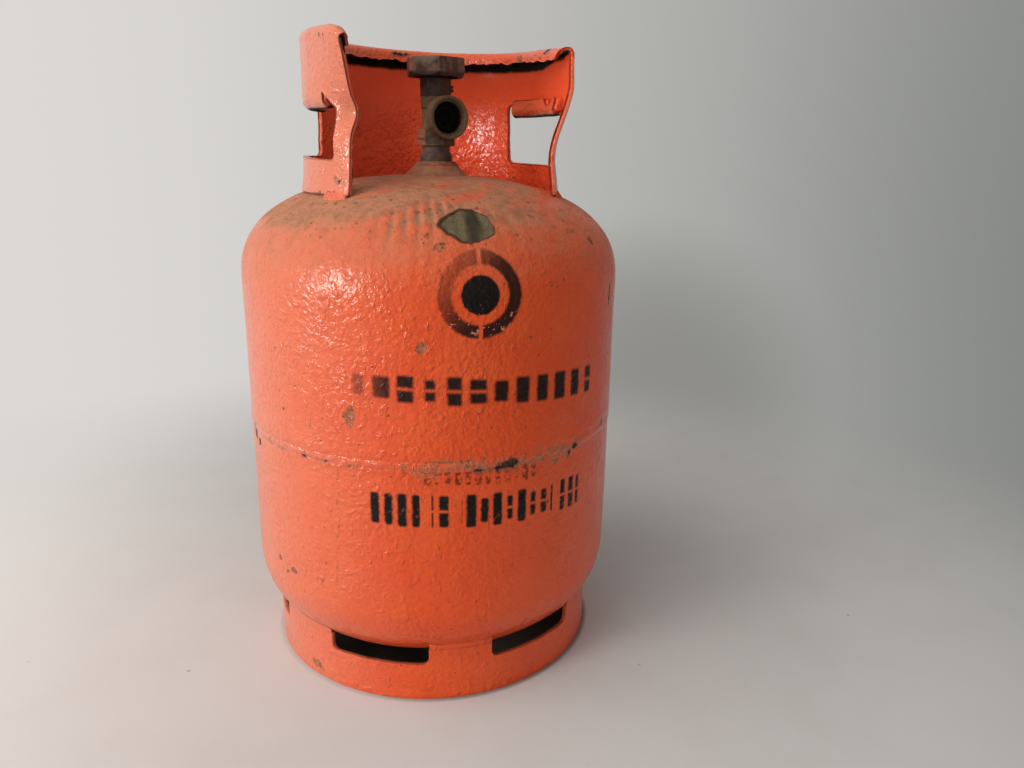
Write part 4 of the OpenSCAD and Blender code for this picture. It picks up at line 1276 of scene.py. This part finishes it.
def collar_look(m, u, v, colour, gloss, rough, height, fine, chips):
    """The collar's inside, painted brighter as painted light, with a dark band under the lip of unsprayed
    metal and painted shadow, a painted shadow along the curl of each grip, and its chalky, cracked outside.
    """
    inner = m.stored("inside")
    # Dark band under the lip and along the grips' curl: unsprayed metal and painted shadow
    soot = (m.stored("soot") + (m.noise(7, 3, seed=31) - 0.5) * 0.5).ease(0.25, 0.75)
    # Painted light: the inside of the collar is painted a brighter orange
    colour = m.mix(inner * 0.7, colour, srgb(232, 84, 50))
    outer = inner * -1 + 1
    left_end = (u + 100.0).abs().ease(95.0, 60.0) * 0.28
    right_grip = (u - 105.0).abs().ease(60.0, 45.0) * v.ease(392.0, 384.0) * 0.16
    chalky = outer * (chips * -1 + 1) * (left_end + right_grip + 0.10)
    colour = m.mix(chalky, colour, srgb(206, 138, 114))
    colour = m.mix(cracks(m, u, v, fine) * outer * 0.8, colour, srgb(104, 50, 36))
    colour = m.mix(soot, colour, DARK)
    smooth = inner * v.ease(HOLE_Z2 - 8, HOLE_Z2 + 12)
    gloss = gloss * (soot * -1 + 1) * (smooth * -0.8 + 1)
    relief = inner * (smooth * -0.85 + 1) * m.noise(4.6, 2, 0.5, seed=35) * 1.35
    return colour, gloss, rough + smooth * 0.25 + soot * 0.4, height * (smooth * -0.8 + 1) + relief


def enamel(name, shell=False, seam=False, sooty=False, edges=False, under=False):
    """Old glossy orange paint over steel: lumpy, dusty on top, and chipped."""
    m = Paint(name)
    u, v = m.turn(BODY_R if shell or seam else COLLAR_TOP_R), m.z
    fine = (m.noise(1.6, 3, seed=2) - 0.5) * 1.5
    colour = old_orange(m, u, v)
    veil = dust_veil(m, shell)
    gloss = (veil * -1.4 + 1).most(0)
    if shell:
        ink, flakes = prints(m, u, v)
        colour = m.mix(ink, colour, PRINT)
        colour = m.mix(flakes, colour, srgb(220, 140, 116))
        veil = veil * (ink * -0.9 + 1)
        gloss = gloss * (ink * -0.9 + 1)
    if shell or seam:
        colour = seam_dirt(m, u, v, colour)
    colour = dusted(m, colour, veil)
    if shell:
        colour = m.mix(m.stored("fold").ease(0.1, -0.9) * veil.ease(0.1, 0.4) * 0.6, colour, DUST_DARK)
    pit, spot = dirt_spots(m, fine)
    if shell:
        pit = pit.most(old_scars(m, u, v, fine))
    colour = m.mix(pit * 0.8, colour, srgb(110, 42, 24))
    colour = m.mix(spot * 0.85, colour, srgb(84, 40, 26))
    colour, primer, steel = chipped(m, colour, fine)
    if shell:
        bare, colour = bare_patch(m, u, colour, fine)
        steel = steel.most(bare)
    if edges:
        bitten = m.stored("edge") + fine * 0.5 + (m.noise(13, 3, seed=30) - 0.5) * 9.0 + 1.9
        colour = m.mix(bitten.ease(0.5, -0.1) * 0.5, colour, RUST)
    height = lumpy(m, u)
    rough = m.noise(11, 3, seed=37) * 0.16 + 0.24
    if sooty:
        chips = steel.most(primer)
        colour, gloss, rough, height = collar_look(m, u, v, colour, gloss, rough, height, fine, chips)
    if under:
        # Darker, duller paint under the shell and inside the ring: partly dirt, partly painted shade
        dirty_and_shaded_underside = m.stored("under")
        colour = m.mix(dirty_and_shaded_underside, colour, srgb(136, 86, 70))
        rough = rough + dirty_and_shaded_underside * 0.5
    height = height * (veil * -0.6 + 1) + veil * m.noise(0.9, 2, seed=36) * 0.12
    height = height - pit * 0.25 - spot * 0.25 - steel * 0.5 - primer * 0.3
    rough = rough + veil * 0.5 + steel * 0.3 + primer * 0.35
    if seam:
        height = height + m.noise(3.6, 3, 0.6, seed=54) * 0.9
    feed(m.tree, m.shader.inputs["Coat Weight"], gloss * (steel * -1 + 1) * (0.9 if seam else 0.5))
    return m.finish(colour, rough.least(0.95), height, Specular_IOR_Level=0.2, Coat_Roughness=0.13)


def crusted(name, low, high, roughness, shine=0.0, extra=None, grit=0.3):
    """Corroded metal in two tones, with a crust."""
    m = Paint(name)
    tone = m.noise(6, 5, 0.62, seed=1).ease(0.36, 0.66)
    colour = m.mix(tone, low, high)
    colour = m.mix(m.noise(1.6, 4, 0.7, seed=2).ease(0.55, 0.68) * 0.7, colour, STEEL_DARK)
    rough = m.noise(4, 3, seed=3) * 0.3 + roughness - 0.15
    if extra:
        colour, rough = extra(m, colour, rough)
    height = m.noise(2.4, 4, 0.6, seed=4) * grit + m.noise(0.7, 3, seed=5) * 0.08
    return m.finish(colour, rough, height, metallic=shine, Specular_IOR_Level=0.3)


def brass_details(m, colour, rough):
    fine = m.noise(1.8, 3, seed=6) - 0.5
    colour = m.mix(m.stored("tan") * (fine + 0.5), colour, srgb(112, 84, 56))
    colour = m.mix(m.stored("violet") * 0.5, colour, srgb(92, 72, 74))
    worn = (m.stored("edge") + fine * 4.5).ease(1.4, 0.4)
    colour = m.mix(worn * 0.5, colour, srgb(106, 90, 64))
    colour = m.mix((m.stored("spray") + fine * 0.9).ease(0.35, 0.6) * 0.6, colour, srgb(150, 86, 60))
    drops = m.noise(2.2, 2, seed=8).ease(0.66, 0.70)
    colour = m.mix(drops * 0.5, colour, srgb(168, 72, 52))
    flecks = m.noise(1.1, 2, seed=10).ease(0.64, 0.70)
    colour = m.mix(flecks * 0.5, colour, srgb(150, 126, 96))
    # Painted shade in the bore and the inner passages
    colour = m.mix(m.stored("bore"), colour, srgb(8, 7, 6))
    return colour, rough - worn * 0.15 + m.stored("bore") * 0.4


def wheel_details(m, colour, rough):
    fine = m.noise(2.6, 4, 0.6, seed=6) - 0.5
    worn = (m.stored("worn") + fine * 1.1).ease(0.32, 0.8)
    colour = m.mix(worn * 0.8, colour, srgb(128, 116, 104))
    edge = (m.stored("edge") + fine * 3.0).ease(0.9, 0.1)
    colour = m.mix(edge * 0.4, colour, srgb(120, 98, 88))
    colour = m.mix((m.stored("spray") + fine * 1.4).ease(0.5, 0.9) * 0.6, colour, srgb(170, 92, 68))
    spots = m.noise(3.4, 3, seed=9).ease(0.66, 0.72)
    colour = m.mix(spots * 0.7, colour, srgb(176, 92, 80))
    # Painted shadow on the wheel's bottom lip
    colour = m.mix(m.stored("under") * 0.75, colour, srgb(26, 19, 17))
    return colour, rough - worn * 0.1


def bung_details(m, colour, rough):
    fine = m.noise(3.4, 4, 0.6, seed=6)
    colour = m.mix(fine.ease(0.45, 0.62) * 0.55, colour, srgb(176, 88, 60))
    dust = m.noise(5, 4, seed=8).ease(0.35, 0.65) * m.z.ease(TOP_Z + 9, TOP_Z + 1)
    colour = m.mix(dust * 0.8, colour, srgb(146, 112, 86))
    return colour, rough + dust * 0.2


# ---------------------------------------------------------------- camera, light and floor

VIEW_TURN = math.radians(-26)         # the camera stands this far round the object, from -Y
CAMERA_AWAY, CAMERA_UP = 552.98, 340.77
CAMERA_YAW, CAMERA_PITCH, CAMERA_ROLL = 0.10166, 0.28560, 0.019363


def in_view(x, y, z):
    """A place in metres given as right of, beyond and above the object's foot, seen from the camera."""
    return Matrix.Rotation(VIEW_TURN, 3, "Z") @ Vector((x, y, z))


def build_camera():
    level = math.cos(CAMERA_PITCH)
    forward = Vector((math.sin(CAMERA_YAW) * level, math.cos(CAMERA_YAW) * level, -math.sin(CAMERA_PITCH)))
    right = Vector((math.cos(CAMERA_YAW), -math.sin(CAMERA_YAW), 0))
    up = right.cross(forward)
    cr, sr = math.cos(CAMERA_ROLL), math.sin(CAMERA_ROLL)
    axes = [right * cr + up * sr, up * cr - right * sr, -forward, Vector((0, -CAMERA_AWAY, CAMERA_UP)) * MM]
    columns = [Matrix.Rotation(VIEW_TURN, 3, "Z") @ c for c in axes]
    data = bpy.data.cameras.new("camera")
    camera = bpy.data.objects.new("camera", data)
    bpy.context.scene.collection.objects.link(camera)
    camera.matrix_world = Matrix([[columns[j][i] for j in range(4)] for i in range(3)] + [[0, 0, 0, 1]])
    data.sensor_width = 36
    data.lens = 28.125
    data.clip_start = 0.01
    data.clip_end = 50
    bpy.context.scene.camera = camera


def area_light(name, where, aim, width, height, power, colour, mirrored=True, lights_up=True):
    data = bpy.data.lights.new(name, "AREA")
    data.shape = "RECTANGLE"
    data.size, data.size_y = width, height
    data.energy = power
    data.color = colour
    lamp = bpy.data.objects.new(name, data)
    bpy.context.scene.collection.objects.link(lamp)
    lamp.visible_glossy = mirrored
    lamp.visible_diffuse = lights_up
    lamp.location = where
    lamp.rotation_euler = (Vector(aim) - Vector(where)).to_track_quat("-Z", "Y").to_euler()


def build_lights():
    centre = in_view(0, 0, 0.2)
    area_light("window", in_view(-1.15, -0.72, 0.42), centre, 0.42, 0.38, 9.3, (1.0, 0.97, 0.93))
    area_light("pane", in_view(-1.14, -0.71, 0.42), centre, 0.42, 0.38, 5.0, (1.0, 0.97, 0.94), True, False)
    area_light("ceiling", in_view(-0.9, -0.5, 1.7), centre, 1.6, 1.2, 17.5, (1.0, 0.98, 0.96), False)
    area_light("fill", in_view(0.9, -1.6, 0.9), centre, 1.4, 1.0, 5.0, (1.0, 0.99, 0.98), False)


def build_world():
    """A room, lighter on the left. The camera, reflections and clear things see a pale wall, painted lighter
    on the left and darker on the right as painted light, with a painted shadow of the object on it, and
    diffuse rays see a dimmer room."""
    world = bpy.data.worlds.new("room")
    bpy.context.scene.world = world
    world.use_nodes = True
    tree = world.node_tree
    tree.nodes.clear()
    out = tree.nodes.new("ShaderNodeOutputWorld")
    room, wall = tree.nodes.new("ShaderNodeBackground"), tree.nodes.new("ShaderNodeBackground")
    room.inputs[1].default_value = 0.40
    wall.inputs[1].default_value = 1
    coordinate = tree.nodes.new("ShaderNodeTexCoord")

    def towards(direction):
        """How far each direction leans towards a given one, from -1 to 1."""
        dot = tree.nodes.new("ShaderNodeVectorMath")
        dot.operation = "DOT_PRODUCT"
        dot.inputs[1].default_value = direction.normalized()
        tree.links.new(coordinate.outputs["Generated"], dot.inputs[0])
        return Val(tree, dot.outputs["Value"])

    # Painted light on the backdrop: the wall is lighter on the left and darker on the right
    right = towards(in_view(1, 0, 0))
    colour = mix_colours(tree, right.ease(-0.45, 0.55), srgb(219, 216, 213), srgb(161, 162, 159))
    colour = mix_colours(tree, right.ease(0.3, 0.8) * 0.9, colour, srgb(118, 120, 118))
    # Painted shadow of the object on the wall, to its right
    corner = towards(in_view(0.27, 1, -0.32)).ease(0.970, 1.0) * 0.62
    colour = mix_colours(tree, corner, colour, srgb(118, 116, 112))
    feed(tree, wall.inputs[0], colour)
    warm, dim = (0.98, 0.95, 0.92, 1), (0.62, 0.61, 0.61, 1)
    feed(tree, room.inputs[0], mix_colours(tree, right.ease(-0.8, 0.8), warm, dim))
    path = tree.nodes.new("ShaderNodeLightPath")
    seen = Val(tree, path.outputs["Is Camera Ray"])
    for ray in ("Is Glossy Ray", "Is Transmission Ray"):
        seen = seen.most(Val(tree, path.outputs[ray]))
    pick = tree.nodes.new("ShaderNodeMixShader")
    feed(tree, pick.inputs[0], seen)
    tree.links.new(room.outputs[0], pick.inputs[1])
    tree.links.new(wall.outputs[0], pick.inputs[2])
    tree.links.new(pick.outputs[0], out.inputs[0])


def build_floor():
    """A pale shelf top that fades into the wall's colour far away, painted lighter to the left as painted
    light, with painted shadow under the object and round its foot.
    """
    rings, turns = [0.02, 0.1, 0.2, 0.4, 0.8, 1.6, 3.2], 96
    points = [(0, 0, 0)] + [tuple(polar(r / MM, 360 * k / turns, 0)) for r in rings for k in range(turns)]
    faces = [[0, 1 + k, 1 + (k + 1) % turns] for k in range(turns)]
    for i in range(len(rings) - 1):
        for k in range(turns):
            a, b = 1 + i * turns, 1 + (i + 1) * turns
            k2 = (k + 1) % turns
            faces.append([a + k, b + k, b + k2, a + k2])
    floor = mesh_object("floor", points, faces)
    m = Paint("shelf_top")
    colour = m.mix(m.noise(60, 4, seed=1).ease(0.4, 0.8) * 0.4, srgb(204, 203, 200), srgb(194, 190, 184))
    gap, pick = m.cells(30.0)
    speck = (gap * 30.0).ease(1.5, 0.8) * pick.ease(0.90, 0.92)
    colour = m.mix(speck * 0.6, colour, srgb(120, 108, 100))
    out_from = m.from_axis()
    side = in_view(1, 0, 0)
    # Painted light: the floor is lighter towards the left, where the window light falls
    lit_left_share = (m.x * -side.x + m.y * -side.y).ease(60.0, 520.0)
    colour = m.mix(lit_left_share, colour, srgb(236, 232, 228))
    # Painted shadow on the floor under the object, inside the foot ring
    colour = m.mix(out_from.ease(RING_R - 3, RING_R - 6), colour, srgb(112, 96, 88))
    # Painted contact shadow round the foot ring, stronger towards the right
    shaded = (m.x * side.x + m.y * side.y).ease(-90.0, 50.0) * 0.5 + 0.2
    colour = m.mix((out_from - RING_R + 0.6).abs().ease(4.6, 1.0) * shaded, colour, srgb(78, 70, 64))
    material = m.finish(colour, 0.8, m.noise(0.8, 2, seed=2) * 0.05, Specular_IOR_Level=0.1)
    tree = m.tree
    away = out_from.ease(300.0, 760.0)
    clear = tree.nodes.new("ShaderNodeBsdfTransparent")
    pick_shader = tree.nodes.new("ShaderNodeMixShader")
    tree.links.new(away.source, pick_shader.inputs[0])
    tree.links.new(m.shader.outputs[0], pick_shader.inputs[1])
    tree.links.new(clear.outputs[0], pick_shader.inputs[2])
    tree.links.new(pick_shader.outputs[0], m.out.inputs[0])
    floor.data.materials.append(material)
    floor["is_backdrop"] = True


# ---------------------------------------------------------------- everything together

def material_for_nodes(material, *nodes):
    """Gives CAD nodes whose shape stays a procedural material."""
    for node in nodes:
        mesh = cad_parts[node].data
        mesh.materials.clear()
        mesh.materials.append(material)


build_camera()
build_lights()
build_world()
build_floor()

shell_paint = enamel("shell_enamel", shell=True, under=True)
weld_paint = enamel("weld_enamel", seam=True)
fillet_paint = enamel("fillet_enamel")
ring_paint = enamel("ring_enamel", edges=True, under=True)
collar_paint = enamel("collar_enamel", sooty=True, edges=True)

build_upper_shell(shell_paint)
build_lower_shell(shell_paint)
build_girth_weld(weld_paint)
build_foot_ring(ring_paint)
build_ring_welds(fillet_paint)
build_collar(collar_paint)
build_collar_welds(fillet_paint)
build_valve_body(crusted("valve_patina", srgb(56, 42, 28), srgb(88, 68, 48), 0.6, 0.0, brass_details))
build_bonnet(crusted("bonnet_patina", srgb(50, 39, 31), srgb(78, 62, 49), 0.6, 0.1))
build_bung(crusted("bung_rust", srgb(96, 62, 46), srgb(134, 86, 64), 0.75, 0.0, bung_details))
build_bung_weld(crusted("bung_weld_rust", srgb(134, 82, 60), srgb(172, 106, 78), 0.75, 0.0, bung_details))
build_wheel(crusted("wheel_rust", srgb(78, 55, 46), srgb(118, 90, 75), 0.5, 0.1, wheel_details))
material_for_nodes(crusted("small_steel", srgb(52, 42, 36), srgb(92, 78, 66), 0.55, 0.5, grit=0.15),
                   "wheel_washer", "wheel_screw", "bonnet_lock_screw")
material_for_nodes(crusted("tarnished_brass", srgb(34, 27, 17), srgb(60, 48, 30), 0.6, 0.3, grit=0.05),
                   "spindle", "seat_holder")
material_for_nodes(crusted("old_rubber", srgb(22, 22, 22), srgb(34, 33, 32), 0.7, 0.0, grit=0.05),
                   "upper_o_ring", "lower_o_ring")
material_for_nodes(crusted("old_nylon", srgb(196, 188, 164), srgb(170, 158, 130), 0.6, 0.0, grit=0.05),
                   "bonnet_gasket")
material_for_nodes(crusted("oily_nylon", srgb(30, 26, 21), srgb(46, 40, 32), 0.6, 0.0, grit=0.05),
                   "seat_disc")

bpy.context.scene.view_settings.view_transform = "Standard"


def corners(box):
    return [list(corner) for corner in box]


{"cad": corners(cad_box), "visual": corners(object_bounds())}
